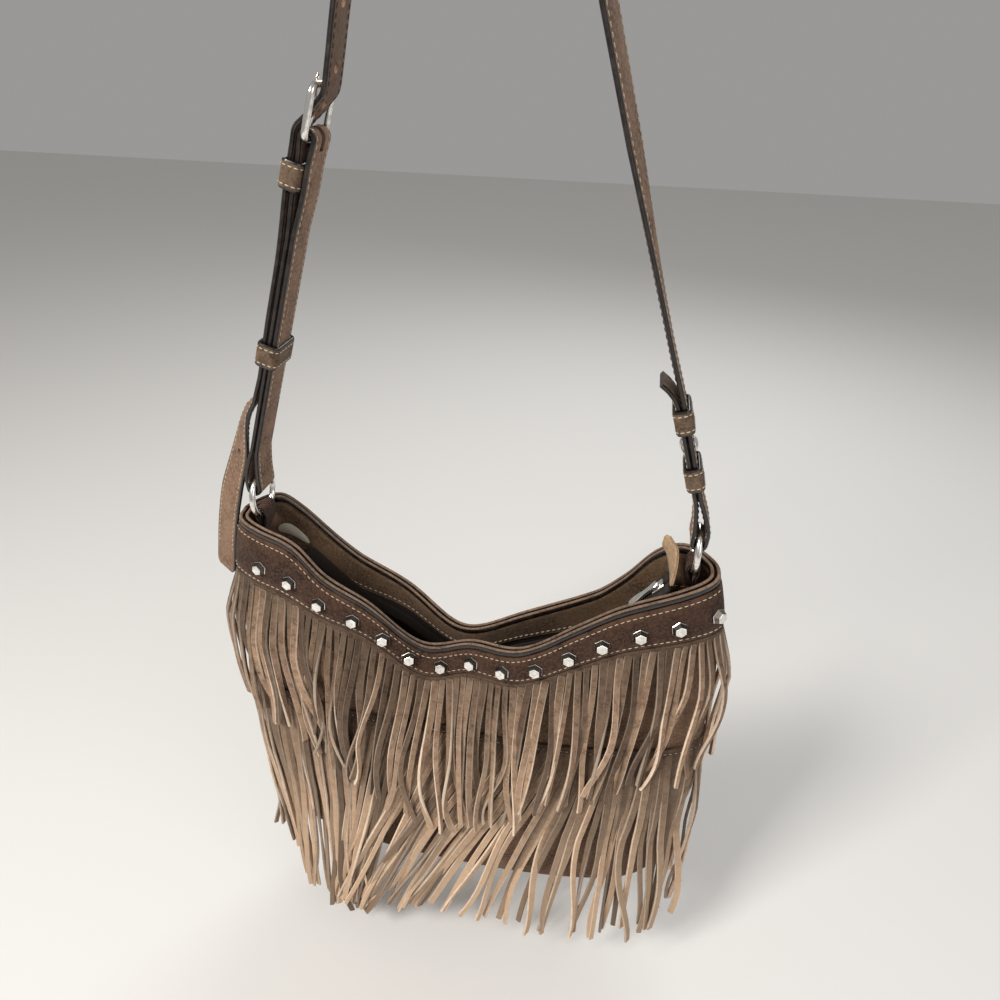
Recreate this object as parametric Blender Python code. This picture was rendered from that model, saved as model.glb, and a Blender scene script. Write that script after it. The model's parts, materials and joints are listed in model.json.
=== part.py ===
"""A fringed suede shoulder bag, hung by its strap.

Lengths are in millimetres and are measured from the ring line, which is the
line through the centres of the two strap rings.  The model's origin is the
underside of the strap's highest point, which lies STRAP_RISE above that line.
X runs along the bag, -Y is its front and +Z is up.
"""
import math

import bmesh
import bpy
from mathutils import Vector

MM = 0.001

# Strap: a long piece from the right ring to the buckle, and a short doubled one
STRAP_LEAN = 17.6
STRAP_WIDTH = 19.0
STRAP_THICK = 2.4
STRAP_FLAT = 12.0
STRAP_BEND = 20.0
PLY_GAP = 0.5
CLEARANCE = 0.45
BUCKLE_HEIGHT = 201.0
RETURN_HEIGHT = 96.0
HOLE_RADIUS = 2.2
HOLE_PITCH = 25.0
HOLES_ABOVE = 3
HOLES_BELOW = 2
HOLE_ABOVE_PRONG = 18.0
HOLE_BELOW_BAR = 64.0
SLOT_BELOW = 7.6
SLOT_ABOVE = 3.5

# Rings
RING_SPAN = 262.8
RING_RADIUS = 13.0
RING_WIRE = 1.9
LOOP_TALL = 20.0
LOOP_JOIN = 15.0

# Buckle
FRAME_TALL = 23.0
FRAME_WIRE = 1.75
FRAME_SIDE_GAP = 1.2
PRONG_WIDE = 3.2
PRONG_THICK = 2.4
PRONG_OVERHANG = 3.5

# Keepers, each a band round the plies, by the height of its middle or its drop from what it holds
KEEPER_THICK = 1.6
KEEPER_TALL = 13.0
KEEPER_SLACK = 0.6
SEWN_KEEPER_DROP = 17.0
LEFT_KEEPER_HEIGHT = 94.0
RIGHT_UPPER_DROP = 16.0
RIGHT_LOWER_DROP = 48.0
RIVET_DROP = 32.0
RIVET_HEAD = 4.2
RIVET_SHANK = 1.6
RIVET_DOME = 1.8

# Tail of the long strap, below the left keeper, by how far it stands outside the ring
TAIL_BEND_OUT = 10.6
TAIL_BEND_Z = 27.0
TAIL_END_OUT = 38.1
TAIL_END_Z = -66.0
TAIL_DEPTH = 4.0
TAIL_TURNS = (30.0, 52.0, 62.0, 62.0, 62.0, 62.0)

# Suede body: thickness of each layer, from the outside in
SHELL_THICK = 1.6
LINING_THICK = 0.8
LAYER_GAP = 0.4
FACING_THICK = 1.4
COLLAR_THICK = 1.8
COLLAR_GAP = 0.7
BINDING_GAP = 0.5
BINDING_HALF = 3.1
BINDING_TALL = 4.6

# Body form by height: how far it reaches past the rings, its half depth, and the pinch at the mouth
PAST_RINGS = ((20, 6.6), (-14, 13.6), (-50, 21.6), (-100, 26.6), (-180, 24.6), (-262, 17.6))
HALF_DEPTH = ((20, 26), (-14, 27.5), (-50, 30), (-100, 34), (-160, 38), (-220, 40), (-262, 37))
CORNER_TOP = -262.0
BODY_BOTTOM = -314.0
CORNER_SIDE = 46.0
BASE_HALF_DEPTH = 7.0
ROUNDNESS = 0.75
PINCH_END = -168.0
FRONT_PINCH = (15.0, -8.0, 27.0, 27.0)
BACK_PINCH = (24.0, 4.0, 32.0, 46.0)

# The collar: heights of its rim along X, front and back, and its own height
RIM_FRONT = ((-147, -14), (-128, -16), (-105, -21), (-86, -38), (-58, -54), (-24, -86),
             (8, -78), (38, -71), (73, -46), (95, -32), (128, -20), (147, -14))
RIM_BACK = ((-147, -14), (-128, -9), (-117, -18), (-96, -44), (-79, -60), (-49, -75),
            (-9, -93), (32, -77), (77, -59), (95, -42), (112, -18), (128, -9), (147, -14))
COLLAR_TALL = ((-150, 38), (-105, 38), (-79, 29), (-50, 23.5), (-10, 21), (20, 22.5), (76, 28), (110, 31), (150, 35))

# Studs on the collar
FRONT_STUD_COUNT = 15
BACK_STUD_COUNT = 13
STUD_LINE = 0.66
STUD_RADIUS = 5.0
STUD_TOP_RADIUS = 3.3
STUD_TALL = 3.8
STUD_SIDES = 6
STUD_SEAT = 0.85
STUD_SPAN_FRONT = (0.09, 0.972)
STUD_SPAN_BACK = (0.06, 0.94)

# Fringe: two tiers, each a cut strip of suede on the front and on the back
FRINGE_THICK = 1.4
FRINGE_TOP_GAP = 1.5
UPPER_HEADER = 13.0
UPPER_LENGTH = 118.0
UPPER_STRAND_COUNT = 39
UPPER_STAND_OFF = 5.8
LOWER_SEAM = -141.0
LOWER_HEADER = 9.0
LOWER_LENGTHS = ((-160, 180), (-100, 222), (0, 215), (60, 200), (110, 188), (160, 165))
LOWER_STRAND_COUNT = 34
LOWER_STAND_OFF = (1.4, 2.2)
LOWER_SWEEP = ((-160, 0), (-100, -2), (-30, -32), (20, -36), (70, -20), (110, 4), (160, 8))
STRAND_SHARE = 0.74
STRAND_TIP = 0.62
STRAND_BENDS = (0.0, 0.2, 0.5, 1.0)
HANG_HEIGHT = -228.0

# Zip in the mouth, open, with its slider parked at its right end.  Its ends are given by how far
# they lie inside the right ring, then Y and Z
ZIP_TOP = (11.4, -2.0, -24.0)
ZIP_FOOT = (54.4, -4.0, -78.0)
ZIP_HALF_GAP = 1.4
TAPE_WIDE = 8.0
TAPE_THICK = 1.0
TAPE_DROP = 29.0
TAPE_SEAT = 2.4
TAPE_LEFT_IN = 15.4
TAPE_TURN = 20.0
SLIDER_LONG = 9.0
SLIDER_WIDE = 8.0
SLIDER_PLATE = 1.2
SLIDER_PARK = 8.0
PULL_LONG = 22.0
PULL_WIDE = 6.0
PULL_THICK = 1.4
PULL_LIFT = 1.4
END_TAB_WIDE = 12.0
END_TAB_THICK = 2.4
END_TAB_TIP = (16.9, -3.0, 7.0)
END_TAB_TURNS = (0.0, 30.0, 50.0, 50.0)

# Tabs that hold the rings to the ends of the bag
TAB_WIDE = 14.0
TAB_PLY = 1.5
TAB_FOOT = -60.0

# How finely the round forms are cut
BODY_STEPS = 26
COLLAR_ROWS = (0.0, 0.34, 0.67, 1.0)
BODY_LEVELS = (-124.0, -138.0, -152.0, -175.0,  -226.0, -262.0, -288.0, -304.0, BODY_BOTTOM)
RING_STEPS = 20
WIRE_STEPS = 8
BEND_STEPS = 6

RING_X = RING_SPAN / 2
HALF_WIDTH = tuple((height, RING_X + past) for height, past in PAST_RINGS)
LEAN = math.radians(STRAP_LEAN)
BEND_X = STRAP_FLAT / 2 + STRAP_BEND * math.cos(LEAN)
BEND_Z = LOOP_TALL + (RING_X - BEND_X) / math.tan(LEAN)
STRAP_RISE = BEND_Z - STRAP_BEND * math.sin(LEAN) + STRAP_BEND - STRAP_THICK / 2
BOTTOM_RUN = CORNER_TOP - BODY_BOTTOM


def clear_scene():
    for item in list(bpy.data.objects):
        bpy.data.objects.remove(item, do_unlink=True)


def material(name, colour, roughness, metallic=0.0):
    made = bpy.data.materials.new(name)
    made.use_nodes = True
    shader = made.node_tree.nodes["Principled BSDF"]
    shader.inputs["Base Color"].default_value = (*colour, 1.0)
    shader.inputs["Roughness"].default_value = roughness
    shader.inputs["Metallic"].default_value = metallic
    made.diffuse_color = (*colour, 1.0)
    return made


def world(point):
    """A point in millimetres from the ring line, as metres from the origin."""
    return Vector((point[0], point[1], point[2] - STRAP_RISE)) * MM


def add_object(name, points, faces, finish, pivot=(0.0, 0.0, STRAP_RISE)):
    """Make one closed mesh object whose own origin is at pivot."""
    origin = world(pivot)
    mesh = bpy.data.meshes.new(name)
    mesh.from_pydata([world(p) - origin for p in points], [], faces)
    form = bmesh.new()
    form.from_mesh(mesh)
    bmesh.ops.recalc_face_normals(form, faces=form.faces)
    if form.calc_volume(signed=True) < 0:
        bmesh.ops.reverse_faces(form, faces=form.faces)
    form.to_mesh(mesh)
    form.free()
    made = bpy.data.objects.new(name, mesh)
    made.location = origin
    mesh.materials.append(finish)
    bpy.context.scene.collection.objects.link(made)
    return made


def smooth(mesh_object, degrees=38.0):
    mesh_object.data.shade_smooth()
    mesh_object.data.set_sharp_from_angle(angle=math.radians(degrees))


def curve(knots, x):
    """Read a smooth curve through its knots, held level past both ends."""
    if x <= knots[0][0]:
        return knots[0][1]
    if x >= knots[-1][0]:
        return knots[-1][1]
    last = len(knots) - 1
    at = max(i for i in range(last) if knots[i][0] <= x)

    def slope(i):
        low, high = max(i - 1, 0), min(i + 1, last)
        return (knots[high][1] - knots[low][1]) / (knots[high][0] - knots[low][0])

    (x0, y0), (x1, y1) = knots[at], knots[at + 1]
    span = x1 - x0
    t = (x - x0) / span
    return ((2 * t**3 - 3 * t**2 + 1) * y0 + (t**3 - 2 * t**2 + t) * span * slope(at)
            + (3 * t**2 - 2 * t**3) * y1 + (t**3 - t**2) * span * slope(at + 1))


def falling(knots, z):
    """Read a curve whose knots are written from the top down."""
    return curve(tuple((-height, value) for height, value in knots), -z)


def hump(shape, x):
    tall, middle, left, right = shape
    wide = left if x < middle else right
    return tall * math.exp(-0.5 * ((x - middle) / wide) ** 2)


def half_width(z):
    wide = falling(HALF_WIDTH, z)
    if z < CORNER_TOP:
        drop = min((CORNER_TOP - z) / BOTTOM_RUN, 1.0)
        wide -= CORNER_SIDE * (1 - math.sqrt(max(1 - drop**2, 0.0)))
    return wide


def half_depth(z):
    deep = falling(HALF_DEPTH, z)
    if z < CORNER_TOP:
        drop = min((CORNER_TOP - z) / BOTTOM_RUN, 1.0)
        deep = BASE_HALF_DEPTH + (deep - BASE_HALF_DEPTH) * math.sqrt(max(1 - drop**2, 0.0))
    return deep


def rim(side, x):
    return curve(RIM_FRONT if side < 0 else RIM_BACK, x)


def plan_point(theta, side, z):
    """A point of the body's outer surface: theta runs from the left end to the right."""
    x = -half_width(z) * math.cos(theta)
    lens = max(math.sin(theta), 0.0) ** ROUNDNESS
    fade = min(max((z - PINCH_END) / (rim(side, x) - PINCH_END), 0.0), 1.0)
    fade = fade * fade * (3 - 2 * fade)
    pinch = hump(FRONT_PINCH if side < 0 else BACK_PINCH, x) * fade * lens
    return Vector((x, side * (half_depth(z) * lens - pinch), z))


def surface(theta, side, z, offset=0.0):
    """The body's surface, moved outwards by offset in plan."""
    step = 0.004
    here = plan_point(theta, side, z)
    if offset == 0.0:
        return here
    if theta < step or theta > math.pi - step:
        return here + Vector((math.copysign(offset, here.x), 0.0, 0.0))
    along = plan_point(theta + step, side, z) - plan_point(theta - step, side, z)
    out = Vector((-along.y, along.x, 0.0)) * side
    return here + out.normalized() * offset


def theta_at(x, z):
    return math.acos(min(max(-x / half_width(z), -1.0), 1.0))


def even_thetas(count, z=-100.0):
    """Angles that step evenly along the body's outline at one height."""
    fine = 1200
    points = [plan_point(math.pi * i / fine, -1, z) for i in range(fine + 1)]
    run = [0.0]
    for a, b in zip(points, points[1:]):
        run.append(run[-1] + (b - a).length)
    found = []
    at = 0
    for k in range(count + 1):
        want = run[-1] * k / count
        while at < fine - 1 and run[at + 1] < want:
            at += 1
        share = (want - run[at]) / (run[at + 1] - run[at])
        found.append(math.pi * (at + share) / fine)
    return found


def height_on(edge, theta):
    """The height where an edge, given as a function of X, crosses theta."""
    x = -HALF_WIDTH[3][1] * math.cos(theta)
    for _ in range(6):
        x = -half_width(edge(x)) * math.cos(theta)
    return edge(x)


def collar_height(side, theta, share):
    """0 is the rim and 1 the collar's seam."""
    top = height_on(lambda x: rim(side, x), theta)
    tall = curve(COLLAR_TALL, -HALF_WIDTH[1][1] * math.cos(theta))
    return top - tall * share


def skin(name, outer_rows, inner_rows, closed, finish, floor=False):
    """A sheet between two grids of points; closed rows run right round."""
    rows, columns = len(outer_rows), len(outer_rows[0])
    points = [p for row in outer_rows for p in row] + [p for row in inner_rows for p in row]
    inner = rows * columns
    faces = []
    last = columns if closed else columns - 1
    for r in range(rows - 1):
        for c in range(last):
            a, b = r * columns + c, r * columns + (c + 1) % columns
            faces.append((a, b, b + columns, a + columns))
            faces.append((inner + a, inner + a + columns, inner + b + columns, inner + b))
    for c in range(last):
        a, b = c, (c + 1) % columns
        faces.append((a, inner + a, inner + b, b))
        low_a, low_b = (rows - 1) * columns + a, (rows - 1) * columns + b
        if not floor:
            faces.append((low_a, low_b, inner + low_b, inner + low_a))
    if floor:
        half = columns // 2
        for base in (0, inner):
            start = base + (rows - 1) * columns
            for c in range(half):
                one, two = start + c, start + c + 1
                far_one, far_two = start + (columns - c) % columns, start + columns - c - 1
                ring = [one, two, far_two, far_one]
                faces.append(tuple(dict.fromkeys(ring)))
    if not closed:
        for r in range(rows - 1):
            for a in (r * columns, r * columns + columns - 1):
                faces.append((a, a + columns, inner + a + columns, inner + a))
    return add_object(name, points, faces, finish)


def round_row(height, offset, thetas):
    """A closed row of points round the body: the front left to right, then the back."""
    row = [surface(t, -1, height(-1, t), offset) for t in thetas]
    row += [surface(t, 1, height(1, t), offset) for t in reversed(thetas[1:-1])]
    return row


def layer_height(side, theta, share):
    """0 is the cut edge under the rim's binding and 1 the collar's seam."""
    top = collar_height(side, theta, 0.0) - BINDING_TALL - BINDING_GAP
    return top + (collar_height(side, theta, 1.0) - top) * share


def pouch(name, outer, inner, upper, finish):
    """A bag-shaped skin, through its upper rows and down to the base."""
    thetas = even_thetas(BODY_STEPS)
    grids = []
    for offset in (outer, inner):
        rows = [round_row(height, offset, thetas) for height in upper]
        rows.append(round_row(lambda s, t: (layer_height(s, t, 1.0) + BODY_LEVELS[0]) / 2, offset, thetas))
        for z in BODY_LEVELS:
            drop = min(max((CORNER_TOP - z) / BOTTOM_RUN, 0.0), 1.0)
            rows.append([Vector((p.x, p.y, p.z - offset * drop)) for p in
                         round_row(lambda s, t, z=z: z, offset, thetas)])
        grids.append(rows)
    return skin(name, grids[0], grids[1], True, finish, floor=True)


def band_on_body(name, side, outer, inner, finish):
    thetas = even_thetas(BODY_STEPS)
    edge_trim = 0.006
    thetas[0] += edge_trim
    thetas[-1] -= edge_trim
    grids = [[[surface(t, side, layer_height(side, t, k), offset) for t in thetas] for k in COLLAR_ROWS]
             for offset in (outer, inner)]
    return skin(name, grids[0], grids[1], False, finish)


def ribbon(name, stations, wide, thick, finish, closed=False):
    """A flat strap through stations of (centre, width direction, face direction, width share)."""
    points, faces = [], []
    for centre, across, face, share in stations:
        half = across * (wide / 2 * share)
        lift = face * (thick / 2)
        points += [centre - half + lift, centre + half + lift, centre + half - lift, centre - half - lift]
    count = len(stations)
    for i in range(count if closed else count - 1):
        a, b = i * 4, ((i + 1) % count) * 4
        for k in range(4):
            m = (k + 1) % 4
            faces.append((a + k, a + m, b + m, b + k))
    if not closed:
        end = (count - 1) * 4
        faces.append((0, 3, 2, 1))
        faces.append((end, end + 1, end + 2, end + 3))
    return add_object(name, points, faces, finish)


def flat_stations(path, place, across, closed=False):
    """Stations along a path of (n, s) pairs, with faces square to the path."""
    count = len(path)
    found = []
    for i, point in enumerate(path):
        before = path[i - 1] if (i > 0 or closed) else path[i]
        after = path[(i + 1) % count] if (i < count - 1 or closed) else path[i]
        direction = (place(after) - place(before)).normalized()
        found.append((place(point), across, across.cross(direction).normalized(), 1.0))
    return found


def extrude_outline(name, outline, place, across, wide, finish, pivot=(0.0, 0.0, STRAP_RISE)):
    """A plate cut to an outline of (n, s) pairs and wide along across."""
    count = len(outline)
    points = [place(p) - across * (wide / 2) for p in outline] + [place(p) + across * (wide / 2) for p in outline]
    faces = [tuple(range(count)), tuple(range(2 * count - 1, count - 1, -1))]
    faces += [(i, i + count, (i + 1) % count + count, (i + 1) % count) for i in range(count)]
    return add_object(name, points, faces, finish, pivot)


def cut(target, name, points, faces):
    """Cut a closed shape out of the target with an exact Boolean."""
    tool = add_object(name, points, faces, target.data.materials[0])
    tool.hide_render = True
    tool.display_type = "WIRE"
    change = target.modifiers.new(name, "BOOLEAN")
    change.operation = "DIFFERENCE"
    change.solver = "EXACT"
    change.object = tool


def rod_mesh(start, end, radius, sides):
    along = (end - start).normalized()
    one = along.orthogonal().normalized()
    two = along.cross(one)
    points = []
    for centre in (start, end):
        for i in range(sides):
            turn = 2 * math.pi * i / sides
            points.append(centre + one * (radius * math.cos(turn)) + two * (radius * math.sin(turn)))
    faces = [tuple(range(sides - 1, -1, -1)), tuple(range(sides, 2 * sides))]
    faces += [(i, (i + 1) % sides, (i + 1) % sides + sides, i + sides) for i in range(sides)]
    return points, faces


ACROSS = Vector((0.0, 1.0, 0.0))


def run_frame(side):
    """Place (n, s) pairs on a strap run: s up the run from the ring line, n outwards."""
    up = Vector((-side * math.sin(LEAN), 0.0, math.cos(LEAN)))
    out = Vector((side * math.cos(LEAN), 0.0, math.sin(LEAN)))
    foot = Vector((side * RING_X, 0.0, LOOP_TALL))
    return lambda p: foot + out * p[0] + up * p[1]


def s_at(height):
    return (height - LOOP_TALL) / math.cos(LEAN)


def arc(centre_n, centre_s, radius, start, end, steps):
    return [(centre_n + radius * math.cos(math.radians(start + (end - start) * i / steps)),
             centre_s + radius * math.sin(math.radians(start + (end - start) * i / steps)))
            for i in range(steps + 1)]


# Places along the strap that several pieces share
LOOP_INSIDE = math.sqrt(RING_RADIUS**2 - (STRAP_WIDTH / 2) ** 2) - RING_WIRE - 3 * CLEARANCE
LOOP_HALF = RING_WIRE + CLEARANCE + STRAP_THICK / 2
PLY_HALF = (PLY_GAP + STRAP_THICK) / 2
BAR_S = s_at(BUCKLE_HEIGHT)
BAR_LOOP = FRAME_WIRE + CLEARANCE + STRAP_THICK / 2
TOP_BAR_S = BAR_S + FRAME_TALL
KEEPER_PLY_HALF = KEEPER_THICK / 2 + KEEPER_SLACK + STRAP_THICK / 2
TAIL_N = BAR_LOOP + STRAP_THICK + PLY_GAP
PLIES_TAIL_N = PLY_HALF + STRAP_THICK + PLY_GAP + 0.2
HANG_S = s_at(LEFT_KEEPER_HEIGHT) - 26.0


def ring_loop(side):
    """The upright fold of a strap round a ring's upper wire, from its inner ply to its outer."""
    place = run_frame(side)
    middle = LOOP_INSIDE - STRAP_THICK / 2 + LOOP_HALF
    start_s = LOOP_TALL - 4.0
    round_wire = arc(0.0, middle, LOOP_HALF, 180, 360, BEND_STEPS)
    fold = [(-LOOP_HALF, start_s)] + round_wire + [(LOOP_HALF, start_s)]
    upright = [Vector((side * (RING_X + n), 0.0, s)) for n, s in fold]
    inner = [place((-PLY_HALF, LOOP_JOIN)), place((-PLY_HALF - 0.5, LOOP_JOIN - 5.0))]
    outer = [place((PLY_HALF + 0.5, LOOP_JOIN - 5.0)), place((PLY_HALF, LOOP_JOIN))]
    return inner + upright + outer


def long_strap(finish):
    right, left = run_frame(1), run_frame(-1)
    curl = [(-PLY_HALF - 6.0, s_at(RETURN_HEIGHT) + 5), (-PLY_HALF - 3.2, s_at(RETURN_HEIGHT) + 1),
            (-PLY_HALF - 1.0, s_at(RETURN_HEIGHT) - 4)]
    rise = [(PLY_HALF, s_at(RETURN_HEIGHT) - 10), (PLY_HALF - 1.0, s_at(RETURN_HEIGHT) + 20),
            (0.0, s_at(RETURN_HEIGHT) + 60)]
    stations = [right(p) for p in curl + [(-PLY_HALF, s_at(RETURN_HEIGHT) - 10)]]
    stations += ring_loop(1)
    stations += [right(p) for p in rise]
    centre = Vector((STRAP_FLAT / 2, 0, BEND_Z - STRAP_BEND * math.sin(LEAN)))
    turns = [(math.pi / 2 - LEAN) * (1 - i / BEND_STEPS) for i in range(BEND_STEPS + 1)]
    bend = [centre + STRAP_BEND * Vector((math.sin(turn), 0, math.cos(turn))) for turn in turns]
    stations += bend
    stations += [Vector((-p.x, 0, p.z)) for p in reversed(bend)]
    low = [(-1.0, TOP_BAR_S + 40), (-FRAME_WIRE - CLEARANCE - STRAP_THICK / 2, TOP_BAR_S + 6),
           (-FRAME_WIRE - CLEARANCE - STRAP_THICK / 2 - 0.2, TOP_BAR_S - 2),
           (-1.6, TOP_BAR_S - 6.5), (2.6, BAR_S + 9.0), (TAIL_N, BAR_S + 3.0), (TAIL_N + 0.2, BAR_S - 4),
           (TAIL_N, BAR_S - 24), (PLIES_TAIL_N + 0.6, BAR_S - 44), (PLIES_TAIL_N, BAR_S - 60),
           (PLIES_TAIL_N, s_at(LEFT_KEEPER_HEIGHT) + 20), (PLIES_TAIL_N, HANG_S)]
    stations += [left(p) for p in low]
    flat_count = len(stations)
    bend_x, end_x = -RING_X - TAIL_BEND_OUT, -RING_X - TAIL_END_OUT
    tail = [Vector((bend_x + 9.0, 1.0, TAIL_BEND_Z + 26)), Vector((bend_x, 2.0, TAIL_BEND_Z)),
            Vector((bend_x - 12.0, TAIL_DEPTH - 1, TAIL_BEND_Z - 30)),
            Vector((end_x + 7.0, TAIL_DEPTH, TAIL_END_Z + 34)),
            Vector((end_x + 1.6, TAIL_DEPTH, TAIL_END_Z + 8)), Vector((end_x, TAIL_DEPTH, TAIL_END_Z))]
    stations += tail
    made = []
    count = len(stations)
    for i, here in enumerate(stations):
        direction = (stations[min(i + 1, count - 1)] - stations[max(i - 1, 0)]).normalized()
        turned = math.radians(TAIL_TURNS[i - flat_count]) if i >= flat_count else 0.0
        across = Vector((-math.sin(turned), math.cos(turned), 0.0))
        across = (across - direction * across.dot(direction)).normalized()
        share = 0.85 if i == count - 1 else 1.0
        made.append((here, across, across.cross(direction).normalized(), share))
    strap = ribbon("strap_main", made, STRAP_WIDTH, STRAP_THICK, finish)
    prong_hole_s = BAR_S + FRAME_TALL * 0.55
    reach = 3 * STRAP_THICK + 4 * CLEARANCE
    for number in range(HOLES_ABOVE):
        s = prong_hole_s + HOLE_ABOVE_PRONG + HOLE_PITCH * number
        cut(strap, f"strap_hole_{number + 1}", *rod_mesh(left((-reach, s)), left((reach, s)), HOLE_RADIUS, 8))
    for number in range(HOLES_BELOW):
        s = BAR_S - HOLE_BELOW_BAR - HOLE_PITCH * number
        start, end = left((PLY_HALF + STRAP_THICK / 2 + PLY_GAP / 2, s)), left((PLIES_TAIL_N + reach, s))
        cut(strap, f"tail_hole_{number + 1}", *rod_mesh(start, end, HOLE_RADIUS, 8))
    slot = box_points(left, (-reach, prong_hole_s - SLOT_BELOW), (reach, prong_hole_s + SLOT_ABOVE),
                      PRONG_WIDE + 3 * CLEARANCE)
    cut(strap, "prong_slot", *slot)
    rivet_s = s_at(RETURN_HEIGHT - RIVET_DROP)
    cut(strap, "rivet_hole", *rod_mesh(right((-reach, rivet_s)), right((reach, rivet_s)), RIVET_SHANK + CLEARANCE, 12))
    return strap


def box_points(place, low, high, wide):
    corners = [(low[0], low[1]), (high[0], low[1]), (high[0], high[1]), (low[0], high[1])]
    points = [place(c) + ACROSS * (sign * wide / 2) for sign in (-1, 1) for c in corners]
    faces = [(0, 1, 2, 3), (7, 6, 5, 4), (0, 4, 5, 1), (1, 5, 6, 2), (2, 6, 7, 3), (3, 7, 4, 0)]
    return points, faces


def short_strap(finish):
    left = run_frame(-1)
    keeper_s = s_at(BUCKLE_HEIGHT - SEWN_KEEPER_DROP)
    outer = [(PLY_HALF, BAR_S - 60), (PLY_HALF, BAR_S - 44), (KEEPER_PLY_HALF, keeper_s - 8),
             (KEEPER_PLY_HALF, keeper_s + 7)]
    path = outer + arc(0.0, BAR_S, BAR_LOOP, 0, 180, BEND_STEPS) + [(-n, s) for n, s in reversed(outer)]
    stations = flat_stations(ring_loop(-1) + [left(p) for p in path], lambda p: p, ACROSS, True)
    strap = ribbon("strap_short", stations, STRAP_WIDTH, STRAP_THICK, finish, True)
    slot = box_points(left, (-BAR_LOOP - 3, BAR_S - 5.0), (BAR_LOOP + 3, BAR_S + 9.0), PRONG_WIDE + 1.0)
    cut(strap, "fold_slot", *slot)
    return strap


def keeper(name, side, height, inner_low, inner_high, wide, finish):
    """A rounded band round the strap, square to its run."""
    place = run_frame(side)
    s = s_at(height)
    half = wide / 2 + KEEPER_SLACK + KEEPER_THICK / 2
    low = inner_low - KEEPER_SLACK - KEEPER_THICK / 2
    high = inner_high + KEEPER_SLACK + KEEPER_THICK / 2
    radius = min((high - low) / 2 - 0.2, 2.6)
    path = []
    for centre_n, centre_y, start in ((high - radius, half - radius, 0), (low + radius, half - radius, 90),
                                      (low + radius, radius - half, 180), (high - radius, radius - half, 270)):
        path += arc(centre_n, centre_y, radius, start, start + 90, 4)
    up = (place((0, 1)) - place((0, 0))).normalized()
    centre = place((0, s))
    out = (place((1, 0)) - place((0, 0))).normalized()
    stations = flat_stations(path, lambda p: centre + out * p[0] + ACROSS * p[1], up, True)
    return ribbon(name, stations, KEEPER_TALL, KEEPER_THICK, finish, True)


def torus_points(centre, across_one, across_two, major, minor):
    points, faces = [], []
    normal = across_one.cross(across_two)
    for i in range(RING_STEPS):
        turn = 2 * math.pi * i / RING_STEPS
        out = across_one * math.cos(turn) + across_two * math.sin(turn)
        for k in range(WIRE_STEPS):
            roll = 2 * math.pi * k / WIRE_STEPS
            points.append(centre + out * (major + minor * math.cos(roll)) + normal * (minor * math.sin(roll)))
    for i in range(RING_STEPS):
        for k in range(WIRE_STEPS):
            a, b = i * WIRE_STEPS, ((i + 1) % RING_STEPS) * WIRE_STEPS
            m = (k + 1) % WIRE_STEPS
            faces.append((a + k, b + k, b + m, a + m))
    return points, faces


def ring(name, side, finish):
    centre = Vector((side * RING_X, 0, 0))
    points, faces = torus_points(centre, Vector((0, 1, 0)), Vector((0, 0, 1)), RING_RADIUS, RING_WIRE)
    made = add_object(name, points, faces, finish, pivot=centre)
    smooth(made, 60)
    return made


def buckle(finish):
    left = run_frame(-1)
    half = STRAP_WIDTH / 2 + FRAME_SIDE_GAP + FRAME_WIRE
    corner = 4.0
    path = []
    for y, s, start in ((half - corner, TOP_BAR_S - corner, 0), (corner - half, TOP_BAR_S - corner, 90),
                        (corner - half, BAR_S + corner, 180), (half - corner, BAR_S + corner, 270)):
        path += arc(y, s, corner, start, start + 90, 4)
    out = (left((1, 0)) - left((0, 0))).normalized()
    points, faces = [], []
    count = len(path)
    for i, (y, s) in enumerate(path):
        before, after = path[i - 1], path[(i + 1) % count]
        tangent = (left((0, after[1])) + ACROSS * after[0] - left((0, before[1])) - ACROSS * before[0]).normalized()
        beside = out.cross(tangent).normalized()
        for k in range(WIRE_STEPS):
            roll = 2 * math.pi * k / WIRE_STEPS
            ring = beside * math.cos(roll) + out * math.sin(roll)
            points.append(left((0, s)) + ACROSS * y + ring * FRAME_WIRE)
    for i in range(count):
        for k in range(WIRE_STEPS):
            a, b = i * WIRE_STEPS, ((i + 1) % count) * WIRE_STEPS
            m = (k + 1) % WIRE_STEPS
            faces.append((a + k, b + k, b + m, a + m))
    smooth(add_object("buckle_frame", points, faces, finish), 60)
    inner = FRAME_WIRE + 0.3
    outer = inner + PRONG_THICK * 0.55
    rest = FRAME_WIRE + CLEARANCE
    tip = TOP_BAR_S + PRONG_OVERHANG
    outline = arc(0.0, BAR_S, inner, -210, 45, 8)
    outline += [(inner - 1.0, BAR_S + 6.5), (rest, TOP_BAR_S - 4), (rest, tip), (rest + PRONG_THICK * 0.8, tip),
                (rest + PRONG_THICK, TOP_BAR_S - 4), (inner + PRONG_THICK - 1.0, BAR_S + 4.5)]
    outline += arc(0.0, BAR_S, outer, 20, -210, 8)
    extrude_outline("buckle_prong", outline, left, ACROSS, PRONG_WIDE, finish)


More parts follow.
